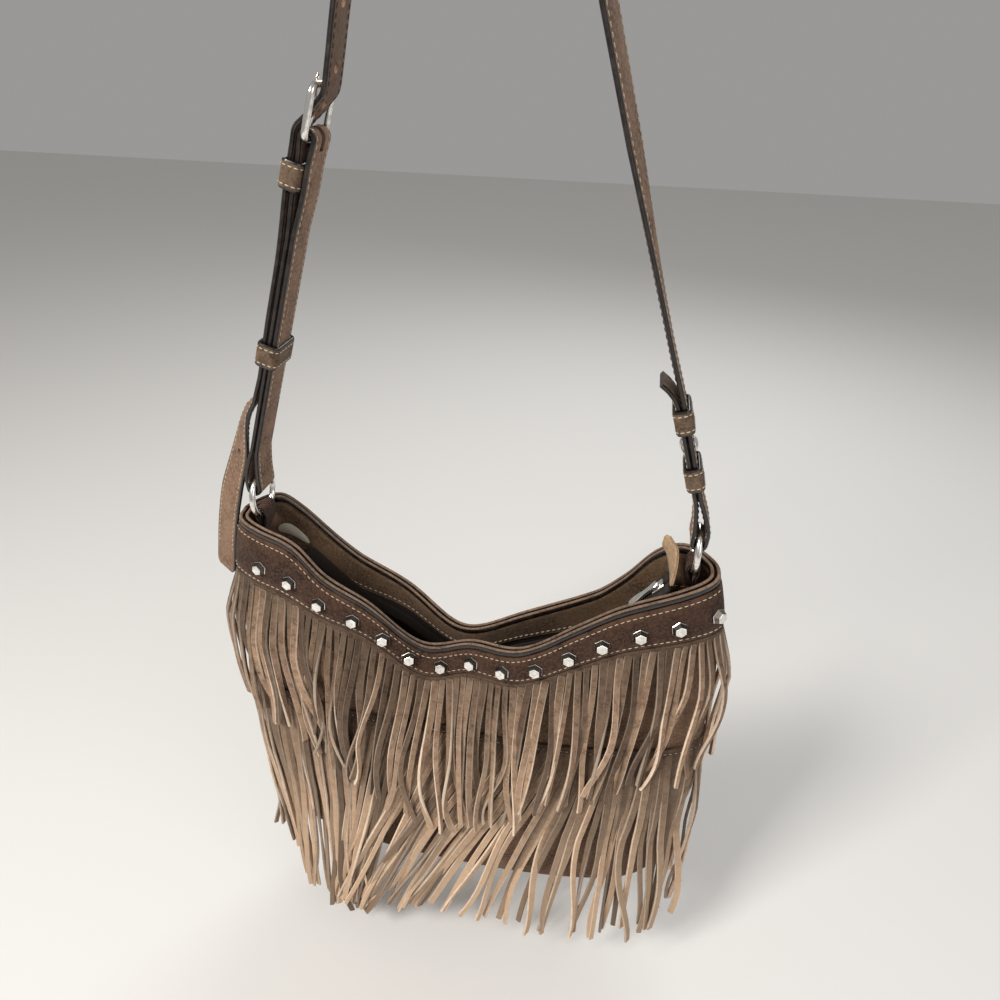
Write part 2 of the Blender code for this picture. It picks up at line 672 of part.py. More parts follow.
def rivet(finish):
    """A riveted stud through both plies: a domed head outside and one inside."""
    right = run_frame(1)
    s = s_at(RETURN_HEIGHT - RIVET_DROP)
    seat = PLY_HALF + STRAP_THICK / 2 + CLEARANCE
    profile = [(RIVET_SHANK, 0.0), (RIVET_SHANK, seat), (RIVET_HEAD, seat),
               (RIVET_HEAD * 0.94, seat + RIVET_DOME * 0.4),
               (RIVET_HEAD * 0.62, seat + RIVET_DOME * 0.85), (0.0, seat + RIVET_DOME)]
    profile = [(r, -h) for r, h in reversed(profile[1:])] + profile[1:]
    centre = right((0, s))
    out = (right((1, 0)) - right((0, 0))).normalized()
    up = (right((0, 1)) - right((0, 0))).normalized()
    sides = 12
    points, faces, rings = [], [], []
    for radius, height in profile:
        if radius == 0.0:
            rings.append([len(points)])
            points.append(centre + out * height)
            continue
        rings.append(list(range(len(points), len(points) + sides)))
        for i in range(sides):
            turn = 2 * math.pi * i / sides
            points.append(centre + out * height + (up * math.cos(turn) + ACROSS * math.sin(turn)) * radius)
    for low, high in zip(rings, rings[1:]):
        for i in range(sides):
            quad = [low[i % len(low)], low[(i + 1) % len(low)], high[(i + 1) % len(high)], high[i % len(high)]]
            faces.append(tuple(dict.fromkeys(quad)))
    smooth(add_object("strap_rivet", points, faces, finish))


def ring_tab(name, side, finish):
    """The suede tab round a ring's lower wire, sewn inside the end of the bag."""

    def place(p):
        return Vector((side * (RING_X + p[0]), 0.0, p[1]))

    def wall(z):
        at = theta_at(half_width(z) - SHELL_THICK, z)
        return surface(at, 1, z, -SHELL_THICK - LAYER_GAP - FACING_THICK).x - RING_X - 2.2

    inside = -(math.sqrt(RING_RADIUS**2 - (TAB_WIDE / 2) ** 2) - RING_WIRE - CLEARANCE)
    half = RING_WIRE + CLEARANCE
    low = -RING_RADIUS - RING_WIRE - CLEARANCE
    thick = 2 * TAB_PLY + 0.2
    outer = half + TAB_PLY
    fold = arc(0.0, inside - half, half, 180, 0, BEND_STEPS)
    cover = arc(0.0, inside - half, outer, 0, 180, BEND_STEPS)
    right_edge = [(outer, low + 0.5), (outer + 1.0, low - 6), (wall(-40.0), -40.0), (wall(TAB_FOOT), TAB_FOOT)]
    left_edge = [(wall(TAB_FOOT) - thick, TAB_FOOT), (wall(-40.0) - thick, -40.0), (outer - thick - 0.6, low - 7),
                 (-outer, low + 0.5)]
    solid = cover + left_edge[::-1] + right_edge[::-1]
    made = extrude_outline(name, solid, place, ACROSS, TAB_WIDE, finish)
    hole = [(-half, low)] + fold + [(half, low)]
    count = len(hole)
    points = [place(p) - ACROSS * TAB_WIDE for p in hole] + [place(p) + ACROSS * TAB_WIDE for p in hole]
    faces = [tuple(range(count)), tuple(range(2 * count - 1, count - 1, -1))]
    faces += [(i, i + count, (i + 1) % count + count, (i + 1) % count) for i in range(count)]
    cut(made, name + "_eye", points, faces)
    return made


def rim_binding(finish):
    """The rolled edge round the whole mouth, on top of collar, shell and facing."""
    thetas = even_thetas(BODY_STEPS)
    middle = (COLLAR_GAP + COLLAR_THICK - SHELL_THICK - LAYER_GAP - FACING_THICK) / 2
    section = [(math.cos(2 * math.pi * k / 8), math.sin(2 * math.pi * k / 8)) for k in range(8)]
    stations = [(t, -1) for t in thetas] + [(t, 1) for t in reversed(thetas[1:-1])]
    points, faces = [], []
    for t, side in stations:
        top = collar_height(side, t, 0.0)
        for wide, tall in section:
            offset = middle + BINDING_HALF * wide
            base = surface(t, side, top, offset)
            points.append(Vector((base.x, base.y, top - BINDING_TALL / 2 + BINDING_TALL / 2 * tall)))
    count = len(stations)
    for i in range(count):
        for k in range(8):
            a, b, m = i * 8, ((i + 1) % count) * 8, (k + 1) % 8
            faces.append((a + k, a + m, b + m, b + k))
    smooth(add_object("rim_binding", points, faces, finish), 50)


def stud_places(side, count, span):
    """Stud places that step evenly along the collar's stud line."""
    fine = 400
    places = []
    for i in range(fine + 1):
        theta = math.pi * i / fine
        places.append((theta, surface(theta, side, collar_height(side, theta, STUD_LINE))))
    run = [0.0]
    for (_, a), (_, b) in zip(places, places[1:]):
        run.append(run[-1] + (b - a).length)
    found = []
    for k in range(count):
        want = run[-1] * (span[0] + (span[1] - span[0]) * k / (count - 1))
        at = max(i for i in range(fine) if run[i] <= want)
        found.append(places[at][0])
    return found


def stud(name, side, theta, finish):
    offset = COLLAR_GAP + COLLAR_THICK
    step = 0.02
    height = lambda t, k: collar_height(side, t, k)
    spot = lambda t, k: surface(t, side, height(t, k), offset)
    middle = spot(theta, STUD_LINE)
    along = (spot(theta + step, STUD_LINE) - spot(theta - step, STUD_LINE)).normalized()
    down = (spot(theta, STUD_LINE + 0.12) - spot(theta, STUD_LINE - 0.12)).normalized()
    out = along.cross(down).normalized() * side * -1
    if out.dot(Vector((0, side, 0))) < 0 and abs(out.y) > 0.3:
        out = -out
    beside = out.cross(down).normalized()
    base = middle + out * STUD_SEAT
    points = []
    for radius, lift in ((STUD_RADIUS, 0.0), (STUD_RADIUS, 0.6), (STUD_TOP_RADIUS, STUD_TALL)):
        for i in range(STUD_SIDES):
            turn = 2 * math.pi * (i + 0.5) / STUD_SIDES
            points.append(base + out * lift + (beside * math.cos(turn) + down * math.sin(turn)) * radius)
    n = STUD_SIDES
    faces = [tuple(range(n)), tuple(range(3 * n - 1, 2 * n - 1, -1))]
    for r in range(2):
        faces += [(r * n + i, r * n + (i + 1) % n, (r + 1) * n + (i + 1) % n, (r + 1) * n + i) for i in range(n)]
    add_object(name, points, faces, finish)


def fringe(name, side, strands, top, header, length, sweep, offsets, finish):
    """A strip of suede with its lower part cut into hanging strands."""
    thetas = even_thetas(strands)
    edges = []
    trim = (1 - STRAND_SHARE) / 2
    for a, b in zip(thetas, thetas[1:]):
        edges += [a + (b - a) * trim, b - (b - a) * trim]
    root_off, free_off = offsets

    def point(column, depth, layer):
        strand = column // 2
        theta = edges[column]
        z_top = top(side, theta)
        middle = (edges[strand * 2] + edges[strand * 2 + 1]) / 2
        x = -HALF_WIDTH[3][1] * math.cos(middle)
        share = max(depth - header, 0.0) / (length(x) - header)
        tip = 1 - (1 - STRAND_TIP) * share
        theta = middle + (theta - middle) * tip
        z = z_top - depth
        swell = min(depth / 45.0, 1.0)
        offset = root_off + (free_off - root_off) * swell * swell * (3 - 2 * swell)
        at = surface(theta, side, max(z, HANG_HEIGHT), offset + layer * FRINGE_THICK)
        drift = sweep(x) * share**1.4
        return Vector((at.x + drift, at.y, z))

    points, faces = [], []
    index = {}

    def vertex(column, row, layer):
        key = (column, row, layer)
        if key not in index:
            strand_x = -HALF_WIDTH[3][1] * math.cos((edges[column // 2 * 2] + edges[column // 2 * 2 + 1]) / 2)
            depth = 0.0 if row == 0 else header + (length(strand_x) - header) * STRAND_BENDS[row - 1]
            index[key] = len(points)
            points.append(point(column, depth, layer))
        return index[key]

    cells = {(c, 0) for c in range(len(edges) - 1)}
    cells |= {(c, r) for c in range(0, len(edges), 2) for r in range(1, len(STRAND_BENDS))}
    for c, r in sorted(cells):
        outer = [vertex(c, r, 1), vertex(c + 1, r, 1), vertex(c + 1, r + 1, 1), vertex(c, r + 1, 1)]
        inner = [vertex(c, r, 0), vertex(c + 1, r, 0), vertex(c + 1, r + 1, 0), vertex(c, r + 1, 0)]
        faces.append(tuple(outer))
        faces.append(tuple(reversed(inner)))
        for k, beside in ((0, (c, r - 1)), (1, (c + 1, r)), (2, (c, r + 1)), (3, (c - 1, r))):
            if beside not in cells:
                m = (k + 1) % 4
                faces.append((outer[k], inner[k], inner[m], outer[m]))
    return add_object(name, points, faces, finish)


def inside_ring(place):
    """A point given by how far it lies inside the right ring, then Y and Z."""
    return Vector((RING_X - place[0], place[1], place[2]))


def zip_parts(tape_finish, metal_finish, tab_finish):
    top, foot = inside_ring(ZIP_TOP), inside_ring(ZIP_FOOT)
    down = (foot - top).normalized()
    face = ACROSS.cross(down).normalized()
    for side, name in ((-1, "zip_tape_front"), (1, "zip_tape_back")):
        shift = ZIP_HALF_GAP + TAPE_WIDE / 2
        stations = [(top + ACROSS * side * shift, ACROSS, face, 1.0), (foot + ACROSS * side * shift, ACROSS, face, 1.0)]
        inset = -SHELL_THICK - LAYER_GAP - FACING_THICK - TAPE_SEAT
        steps = 15
        start_x, end_x = foot.x - TAPE_TURN, TAPE_LEFT_IN - RING_X
        for i in range(steps + 1):
            x = start_x + (end_x - start_x) * i / steps
            z = rim(side, x) - TAPE_DROP - TAPE_WIDE / 2
            spot = surface(theta_at(x, z), side, z, inset)
            ahead_x = x - 1.0
            ahead_z = rim(side, ahead_x) - TAPE_DROP - TAPE_WIDE / 2
            ahead = surface(theta_at(ahead_x, ahead_z), side, ahead_z, inset)
            direction = (ahead - spot).normalized()
            upright = Vector((0, 0, side)) - direction * direction.z * side
            upright.normalize()
            stations.append((spot, upright, upright.cross(direction).normalized(), 1.0))
        ribbon(name, stations, TAPE_WIDE, TAPE_THICK, tape_finish)
    centre = top + down * SLIDER_PARK
    slot = TAPE_THICK / 2 + CLEARANCE
    plate = slot + SLIDER_PLATE
    post = ZIP_HALF_GAP - CLEARANCE - 0.2
    wide = SLIDER_WIDE / 2
    outline = [(-wide, slot), (-post, slot), (-post, -slot), (-wide, -slot), (-wide, -plate), (wide, -plate),
               (wide, -slot), (post, -slot), (post, slot), (wide, slot), (wide, plate), (-wide, plate)]
    extrude_outline("zip_slider", outline, lambda p: centre + ACROSS * p[0] + face * p[1], down, SLIDER_LONG,
                    metal_finish, pivot=centre)
    hang = centre + face * (plate + PULL_LIFT)
    stations = [(hang + down * (i * PULL_LONG / 3 - 1.0), ACROSS, face, (1.0, 0.8, 1.0, 0.7)[i]) for i in range(4)]
    pull = ribbon("zip_pull", stations, PULL_WIDE, PULL_THICK, metal_finish)
    tip = inside_ring(END_TAB_TIP)
    base = top - down * 1.5
    middle = base.lerp(tip, 0.5) + Vector((1.5, 0, 0))
    path = [base, middle, base.lerp(tip, 0.8) + Vector((0.8, 0, 0)), tip]
    made = []
    for i, here in enumerate(path):
        direction = (path[min(i + 1, 3)] - path[max(i - 1, 0)]).normalized()
        flat = (ACROSS - direction * ACROSS.dot(direction)).normalized()
        turn = math.radians(END_TAB_TURNS[i])
        across = flat * math.cos(turn) + flat.cross(direction) * math.sin(turn)
        made.append((here, across, across.cross(direction).normalized(), (1.0, 1.0, 0.9, 0.3)[i]))
    ribbon("zip_end_tab", made, END_TAB_WIDE, END_TAB_THICK, tab_finish)
    return pull


def build():
    clear_scene()
    dark_suede = material("dark_suede", (0.105, 0.075, 0.058), 0.85)
    strap_leather = material("strap_leather", (0.145, 0.098, 0.075), 0.6)
    edge_paint = material("edge_paint", (0.03, 0.024, 0.022), 0.45)
    taupe_suede = material("taupe_suede", (0.27, 0.2, 0.15), 0.9)
    cloth = material("lining_cloth", (0.05, 0.04, 0.035), 0.9)
    nickel = material("nickel", (0.62, 0.6, 0.57), 0.28, 1.0)
    tan_leather = material("tan_leather", (0.45, 0.31, 0.2), 0.65)

    long_strap(strap_leather)
    short_strap(strap_leather)
    buckle(nickel)
    sewn_low = KEEPER_PLY_HALF - STRAP_THICK / 2
    sewn_height = BUCKLE_HEIGHT - SEWN_KEEPER_DROP
    keeper("keeper_sewn", -1, sewn_height, sewn_low, TAIL_N + STRAP_THICK / 2 + 0.3, STRAP_WIDTH, strap_leather)
    both = PLY_HALF + STRAP_THICK / 2
    keeper("keeper_left", -1, LEFT_KEEPER_HEIGHT, -both, PLIES_TAIL_N + STRAP_THICK / 2, STRAP_WIDTH, strap_leather)
    keeper("keeper_right_upper", 1, RETURN_HEIGHT - RIGHT_UPPER_DROP, -both, both, STRAP_WIDTH, strap_leather)
    keeper("keeper_right_lower", 1, RETURN_HEIGHT - RIGHT_LOWER_DROP, -both, both, STRAP_WIDTH, strap_leather)
    rivet(nickel)
    for side, name in ((-1, "left"), (1, "right")):
        ring("ring_" + name, side, nickel)
        ring_tab("tab_" + name, side, dark_suede)

    shell_rows = [lambda s, t, k=k: layer_height(s, t, k) for k in COLLAR_ROWS]
    pouch("body_shell", 0.0, -SHELL_THICK, shell_rows, dark_suede)
    lining_out = -SHELL_THICK - LAYER_GAP
    pouch("lining", lining_out, lining_out - LINING_THICK, [lambda s, t: layer_height(s, t, 1.0) - BINDING_GAP], cloth)
    for side, name in ((-1, "front"), (1, "back")):
        band_on_body("collar_" + name, side, COLLAR_GAP + COLLAR_THICK, COLLAR_GAP, dark_suede)
        band_on_body("facing_" + name, side, lining_out, lining_out - FACING_THICK, dark_suede)
        count, span = (FRONT_STUD_COUNT, STUD_SPAN_FRONT) if side < 0 else (BACK_STUD_COUNT, STUD_SPAN_BACK)
        for number, theta in enumerate(stud_places(side, count, span)):
            stud(f"stud_{name}_{number + 1:02d}", side, theta, nickel)
        fringe("fringe_upper_" + name, side, UPPER_STRAND_COUNT, lambda s, t: collar_height(s, t, 1.0) - FRINGE_TOP_GAP,
               UPPER_HEADER, lambda x: UPPER_LENGTH, lambda x: 0.0, (COLLAR_GAP, UPPER_STAND_OFF), taupe_suede)
        fringe("fringe_lower_" + name, side, LOWER_STRAND_COUNT, lambda s, t: LOWER_SEAM, LOWER_HEADER,
               lambda x: curve(LOWER_LENGTHS, x), lambda x: curve(LOWER_SWEEP, x), LOWER_STAND_OFF,
               taupe_suede)
    rim_binding(edge_paint)
    zip_parts(cloth, nickel, tan_leather)


build()
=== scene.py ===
# %% [markdown]
# # A fringed suede shoulder bag
# The bag hangs by its strap.  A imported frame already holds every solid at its
# real size, so this script only dresses it: suede with a nap, painted strap
# edges, cream stitches, nickel hardware and some three hundred cut strands.
# Everything is measured from the ring line, which joins the two strap rings,
# because that is where the bag hangs and turns.

# %% Load the frame and note its box
import json
import math
import random

import bmesh
import bpy
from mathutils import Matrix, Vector

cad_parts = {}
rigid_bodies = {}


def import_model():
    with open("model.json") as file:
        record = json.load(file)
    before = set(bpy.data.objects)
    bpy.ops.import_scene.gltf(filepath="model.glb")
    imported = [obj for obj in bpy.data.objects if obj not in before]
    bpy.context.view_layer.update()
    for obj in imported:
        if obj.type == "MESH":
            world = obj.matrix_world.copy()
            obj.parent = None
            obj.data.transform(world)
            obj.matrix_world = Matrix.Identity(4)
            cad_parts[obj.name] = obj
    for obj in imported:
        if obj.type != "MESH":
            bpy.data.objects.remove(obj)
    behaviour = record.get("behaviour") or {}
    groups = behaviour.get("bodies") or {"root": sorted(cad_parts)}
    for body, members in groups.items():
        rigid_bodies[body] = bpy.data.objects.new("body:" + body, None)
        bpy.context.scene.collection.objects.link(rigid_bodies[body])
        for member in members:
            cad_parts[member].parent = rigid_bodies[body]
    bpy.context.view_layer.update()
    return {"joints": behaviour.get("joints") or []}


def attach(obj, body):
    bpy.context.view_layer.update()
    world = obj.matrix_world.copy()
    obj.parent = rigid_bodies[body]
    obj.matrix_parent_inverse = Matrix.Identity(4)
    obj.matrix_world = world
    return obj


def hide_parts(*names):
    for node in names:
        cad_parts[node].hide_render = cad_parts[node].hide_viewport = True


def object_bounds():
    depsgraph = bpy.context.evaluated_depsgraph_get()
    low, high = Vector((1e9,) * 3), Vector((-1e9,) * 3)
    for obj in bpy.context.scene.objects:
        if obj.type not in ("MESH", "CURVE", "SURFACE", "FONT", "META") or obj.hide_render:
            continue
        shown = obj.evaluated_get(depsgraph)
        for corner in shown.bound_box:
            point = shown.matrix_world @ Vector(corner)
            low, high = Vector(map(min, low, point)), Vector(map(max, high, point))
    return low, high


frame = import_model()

MM = 0.001
joints = {joint["name"]: joint for joint in frame["joints"]}
RING_Z = joints["bag_rock"]["pos_m"][2] / MM
RING_X = joints["right_ring_turn"]["pos_m"][0] / MM
print("ring line at", round(RING_Z, 1), "mm, rings", round(2 * RING_X, 1), "mm apart")

# %% [markdown]
# ## The camera
# The photograph looks down on the bag at about 32 degrees from close by, so
# vertical lines lean together towards the bottom.  A camera matrix built from
# three axes keeps the pitch, the small turn to the right and the slight roll
# as separate numbers, which is easier to adjust than one rotation.

# %% Camera
CAMERA_PLACE = (82.0, -356.0, 240.0)
CAMERA_PITCH = math.radians(31.8)
CAMERA_TURN = math.radians(10.2)
CAMERA_ROLL = math.radians(1.5)
CAMERA_LENS = 26.53


def place(point):
    """Millimetres from the ring line to metres in the frame."""
    return Vector((point[0], point[1], point[2] + RING_Z)) * MM


ahead = Vector((-math.sin(CAMERA_TURN), math.cos(CAMERA_TURN), 0.0))
level_right = Vector((math.cos(CAMERA_TURN), math.sin(CAMERA_TURN), 0.0))
look = ahead * math.cos(CAMERA_PITCH) + Vector((0, 0, -math.sin(CAMERA_PITCH)))
level_up = ahead * math.sin(CAMERA_PITCH) + Vector((0, 0, math.cos(CAMERA_PITCH)))
camera_right = level_right * math.cos(CAMERA_ROLL) + level_up * math.sin(CAMERA_ROLL)
camera_up = level_up * math.cos(CAMERA_ROLL) - level_right * math.sin(CAMERA_ROLL)
camera = bpy.data.objects.new("camera", bpy.data.cameras.new("camera"))
camera.data.lens = CAMERA_LENS
camera.data.clip_start = 0.02
for axis, column in enumerate((camera_right, camera_up, -look)):
    for row in range(3):
        camera.matrix_world[row][axis] = column[row]
camera.location = place(CAMERA_PLACE)
bpy.context.scene.collection.objects.link(camera)
bpy.context.scene.camera = camera

# %% [markdown]
# ## Room and light
# The bag is judged under plain light, so the world gives an even pale glow
# and three large area lamps add soft shape.  The floor lies a little below
# the longest strand, because the bag hangs free of it.

# %% Floor, world and lamps
FLOOR_DROP = 30.0
PALE = (0.80, 0.79, 0.77)
scene = bpy.context.scene
scene.view_settings.view_transform = "Standard"
world = bpy.data.worlds.new("pale_room")
scene.world = world
world.use_nodes = True
world_nodes = world.node_tree.nodes
background = world_nodes["Background"]
background.inputs["Color"].default_value = (*PALE, 1.0)
background.inputs["Strength"].default_value = 0.4


def add_lamp(name, spot, aim, size, power, colour):
    """A square area lamp at spot, in metres from the ring line, that faces aim."""
    lamp = bpy.data.lights.new(name, "AREA")
    lamp.shape = "SQUARE"
    lamp.size = size
    lamp.energy = power
    lamp.color = colour
    made = bpy.data.objects.new(name, lamp)
    made.location = Vector(spot) + Vector((0, 0, RING_Z * MM))
    towards = Vector(aim) - Vector(spot)
    made.rotation_euler = towards.to_track_quat("-Z", "Y").to_euler()
    scene.collection.objects.link(made)


add_lamp("key_lamp", (-0.7, -0.9, 1.1), (0, 0, -0.15), 0.45, 24.0, (1.0, 0.97, 0.93))
add_lamp("fill_lamp", (1.1, -0.8, 0.5), (0, 0, -0.15), 1.0, 5.0, (0.97, 0.98, 1.0))
add_lamp("back_lamp", (0.3, 1.2, 0.9), (0, 0, -0.1), 0.9, 8.0, (1.0, 1.0, 1.0))

# %% [markdown]
# ## Shared effects
# Suede and leather share two effects, and each is a node group with named
# inputs.  "Nap" mottles a colour the way brushed fibres catch the light and
# makes a fine bump.  "Fade" lightens edges that stick out, where hands rub.
# A group gives out only colours, masks and normals, and the Principled
# shader stays in each material.

# %% Node group helpers
def srgb(red, green, blue):
    """A colour read as 0 to 255 on a screen, as the linear values Blender mixes."""
    def linear(value):
        value /= 255
        return value / 12.92 if value <= 0.04045 else ((value + 0.055) / 1.055) ** 2.4
    return (linear(red), linear(green), linear(blue), 1.0)


def new_group(name, inputs, outputs):
    group = bpy.data.node_groups.new(name, "ShaderNodeTree")
    for title, kind, value in inputs:
        socket = group.interface.new_socket(title, in_out="INPUT", socket_type=kind)
        if value is not None:
            socket.default_value = value
    for title, kind in outputs:
        group.interface.new_socket(title, in_out="OUTPUT", socket_type=kind)
    return group, group.nodes.new("NodeGroupInput"), group.nodes.new("NodeGroupOutput")


def feed(tree, value, socket):
    """Link value where it is another node's output, and otherwise write it on the socket."""
    if hasattr(value, "is_output"):
        tree.links.new(value, socket)
    else:
        socket.default_value = value


def fed_node(tree, kind, values, operation=None):
    node = tree.nodes.new("ShaderNode" + kind)
    if operation:
        node.operation = operation
    for socket, value in values.items():
        feed(tree, value, node.inputs[socket])
    return node


def object_space(tree):
    return tree.nodes.new("ShaderNodeTexCoord").outputs["Object"]


# %% Noise, ramps and mixes
def noise(tree, vector, scale, detail, roughness):
    values = {"Vector": vector, "Scale": scale, "Detail": detail, "Roughness": roughness}
    return fed_node(tree, "TexNoise", values).outputs["Fac"]


def ramp(tree, value, low, high, to_low=0.0, to_high=1.0):
    """Stretch low to high over to_low to to_high, level outside."""
    values = {"Value": value, "From Min": low, "From Max": high, "To Min": to_low, "To Max": to_high}
    return fed_node(tree, "MapRange", values).outputs["Result"]


def mix(tree, factor, one, two):
    node = tree.nodes.new("ShaderNodeMix")
    node.data_type = "RGBA"
    for socket, value in zip((0, 6, 7), (factor, one, two)):
        feed(tree, value, node.inputs[socket])
    return node.outputs[2]


def times(tree, one, two):
    return fed_node(tree, "Math", {0: one, 1: two}, "MULTIPLY").outputs[0]


def bumped(tree, height, strength, distance):
    values = {"Height": height, "Strength": strength, "Distance": distance}
    return fed_node(tree, "Bump", values).outputs["Normal"]


def use_group(tree, group, values):
    """Place a shared effect in a material, with that material's own values."""
    node = tree.nodes.new("ShaderNodeGroup")
    node.node_tree = group
    for title, value in values.items():
        feed(tree, value, node.inputs[title])
    return node

# %% The nap group
COLOUR, NUMBER, VECTOR = "NodeSocketColor", "NodeSocketFloat", "NodeSocketVector"
nap, nap_in, nap_out = new_group(
    "suede_nap",
    (("Deep", COLOUR, None), ("Brushed", COLOUR, None), ("Speck", COLOUR, None), ("Patch Scale", NUMBER, 45.0),
     ("Fibre Scale", NUMBER, 620.0), ("Bump", NUMBER, 0.35)),
    (("Colour", COLOUR), ("Roughness", NUMBER), ("Normal", VECTOR)))
NAP_DEPTH = 0.001
where = object_space(nap)
patches = noise(nap, where, nap_in.outputs["Patch Scale"], 6.0, 0.62)
fibres = noise(nap, where, nap_in.outputs["Fibre Scale"], 3.0, 0.7)
brushed = mix(nap, ramp(nap, patches, 0.38, 0.62), nap_in.outputs["Deep"], nap_in.outputs["Brushed"])
for title, value in (
        ("Colour", mix(nap, ramp(nap, fibres, 0.43, 0.62, 0.0, 0.85), brushed, nap_in.outputs["Speck"])),
        ("Roughness", ramp(nap, fibres, 0.3, 0.7, 0.98, 0.82)),
        ("Normal", bumped(nap, fibres, nap_in.outputs["Bump"], NAP_DEPTH))):
    nap.links.new(value, nap_out.inputs[title])
print("nap group:", len(nap.nodes), "nodes")

# %% The fade group
fade_group, fade_in, fade_out = new_group(
    "rubbed_edge", (("Colour", COLOUR, None), ("Worn", COLOUR, None), ("Amount", NUMBER, 0.5)),
    (("Colour", COLOUR), ("Mask", NUMBER)))
pointiness = fade_group.nodes.new("ShaderNodeNewGeometry").outputs["Pointiness"]
blotch = ramp(fade_group, noise(fade_group, object_space(fade_group), 160.0, 4.0, 0.6), 0.35, 0.6)
rubbed = times(fade_group, ramp(fade_group, pointiness, 0.505, 0.56), blotch)
rubbed = times(fade_group, rubbed, fade_in.outputs["Amount"])
fade_group.links.new(mix(fade_group, rubbed, fade_in.outputs["Colour"], fade_in.outputs["Worn"]),
                     fade_out.inputs["Colour"])
fade_group.links.new(rubbed, fade_out.inputs["Mask"])
print("fade group:", len(fade_group.nodes), "nodes")

# %% [markdown]
# ## Materials
# Each finish of the real bag is one material: dark brushed suede for the collar and body, lighter suede for the
# fringe with paler cut edges, strap suede outside and smooth leather inside, black edge paint, cream thread, worn
# nickel, woven lining and tan leather. Some also carry painted light: the fringe's cut edges and the rim's crests
# are partly a painted highlight, the fringe is darkened by painted shade, and a darker nickel paints shade on the
# studs.

# %% Suede and leather
SHEEN_ROUGHNESS, RUB_AMOUNT = 0.55, 0.6
PALE_FROM, PALE_TO, PALE_SHARE = -130.0, -300.0, 0.7
# Painted shade for the fringe: strands and headers are mixed towards GAP_SHADE by shade values stored on their
# meshes.
GAP_SHADE, GAP_SHARE, UNSHADED_FROM = srgb(34, 22, 15), 0.86, 0.85


def finish(name, roughness, metallic=0.0, sheen=0.0):
    made = bpy.data.materials.new(name)
    made.use_nodes = True
    shader = made.node_tree.nodes["Principled BSDF"]
    shader.inputs["Roughness"].default_value = roughness
    shader.inputs["Metallic"].default_value = metallic
    if sheen:
        shader.inputs["Sheen Weight"].default_value = sheen
        shader.inputs["Sheen Roughness"].default_value = SHEEN_ROUGHNESS
    return made, made.node_tree, shader


def suede(name, deep, brushed, worn, patch, bump_strength, sheen=0.06, fibre=620.0, specular=0.2,
          low=None, painted_shading=False):
    """Suede with its nap; low is its colour towards the tips, and the last flag darkens it as painted shade, by
    shade values stored on the mesh.
    """
    made, tree, shader = finish(name, 0.9, sheen=sheen)
    shader.inputs["Specular IOR Level"].default_value = specular
    deep, brushed, worn = (srgb(*colour) for colour in (deep, brushed, worn))
    lit = tuple(0.55 * a + 0.45 * b for a, b in zip(brushed, worn))
    napped = use_group(tree, nap, {"Deep": deep, "Brushed": brushed, "Speck": lit, "Patch Scale": patch,
                                   "Fibre Scale": fibre, "Bump": bump_strength})
    colour = use_group(tree, fade_group, {"Colour": napped.outputs["Colour"], "Worn": worn,
                                          "Amount": RUB_AMOUNT}).outputs["Colour"]
    if low:
        height = fed_node(tree, "SeparateXYZ", {0: object_space(tree)}).outputs["Z"]
        share = ramp(tree, height, (RING_Z + PALE_FROM) * MM, (RING_Z + PALE_TO) * MM, 0.0, PALE_SHARE)
        colour = mix(tree, share, colour, srgb(*low))
    # Painted shade: the colour goes darker where the stored shade values are low.
    if painted_shading:
        painted_shade = tree.nodes.new("ShaderNodeAttribute")
        painted_shade.attribute_name = "painted_shade"
        colour = mix(tree, ramp(tree, painted_shade.outputs["Fac"], 0.0, UNSHADED_FROM, GAP_SHARE, 0.0), colour, GAP_SHADE)
    for title, value in (("Base Color", colour), ("Roughness", napped.outputs["Roughness"]),
                         ("Normal", napped.outputs["Normal"])):
        tree.links.new(value, shader.inputs[title])
    return made

# %% The suedes and leathers
collar_suede = suede("collar_suede", (33, 20, 14), (64, 43, 31), (100, 73, 56), 60.0, 0.6)
facing_suede = suede("facing_suede", (66, 49, 35), (100, 77, 56), (130, 103, 78), 42.0, 0.45)
body_suede = suede("body_suede", (94, 71, 55), (136, 108, 87), (168, 138, 112), 38.0, 0.6)
strand_suede = suede("strand_suede", (94, 70, 53), (148, 118, 95), (188, 157, 130), 120.0, 0.7,
                     low=(224, 190, 156), painted_shading=True)
# The strands' cut edges and bevels: paler partly because the raw suede shows, partly as a painted highlight on their
# rounded edges.
strand_edge_and_highlight = suede("strand_cut_edge_and_highlight", (204, 174, 148), (236, 210, 184), (242, 222, 200), 90.0, 0.3, painted_shading=True)
strap_suede = suede("strap_suede", (84, 62, 47), (128, 100, 80), (158, 130, 108), 60.0, 0.4)
strap_inside = suede("strap_inside", (72, 54, 42), (98, 76, 60), (122, 98, 80), 30.0, 0.15, 0.04, 500.0, 0.4)
keeper_suede = suede("keeper_suede", (54, 42, 33), (88, 70, 56), (126, 104, 84), 80.0, 0.4)
# Lighter leather for the rim's crests: partly the fold's own leather, partly a painted highlight.
crest_leather_and_highlight = suede("crest_leather_and_highlight", (74, 55, 42), (112, 88, 70), (150, 124, 102), 140.0, 0.2, 0.05, 600.0, 0.5)
tan_leather = suede("tan_leather", (140, 112, 84), (174, 144, 112), (196, 168, 138), 70.0, 0.3)
print("suedes and leathers:", len(bpy.data.materials))

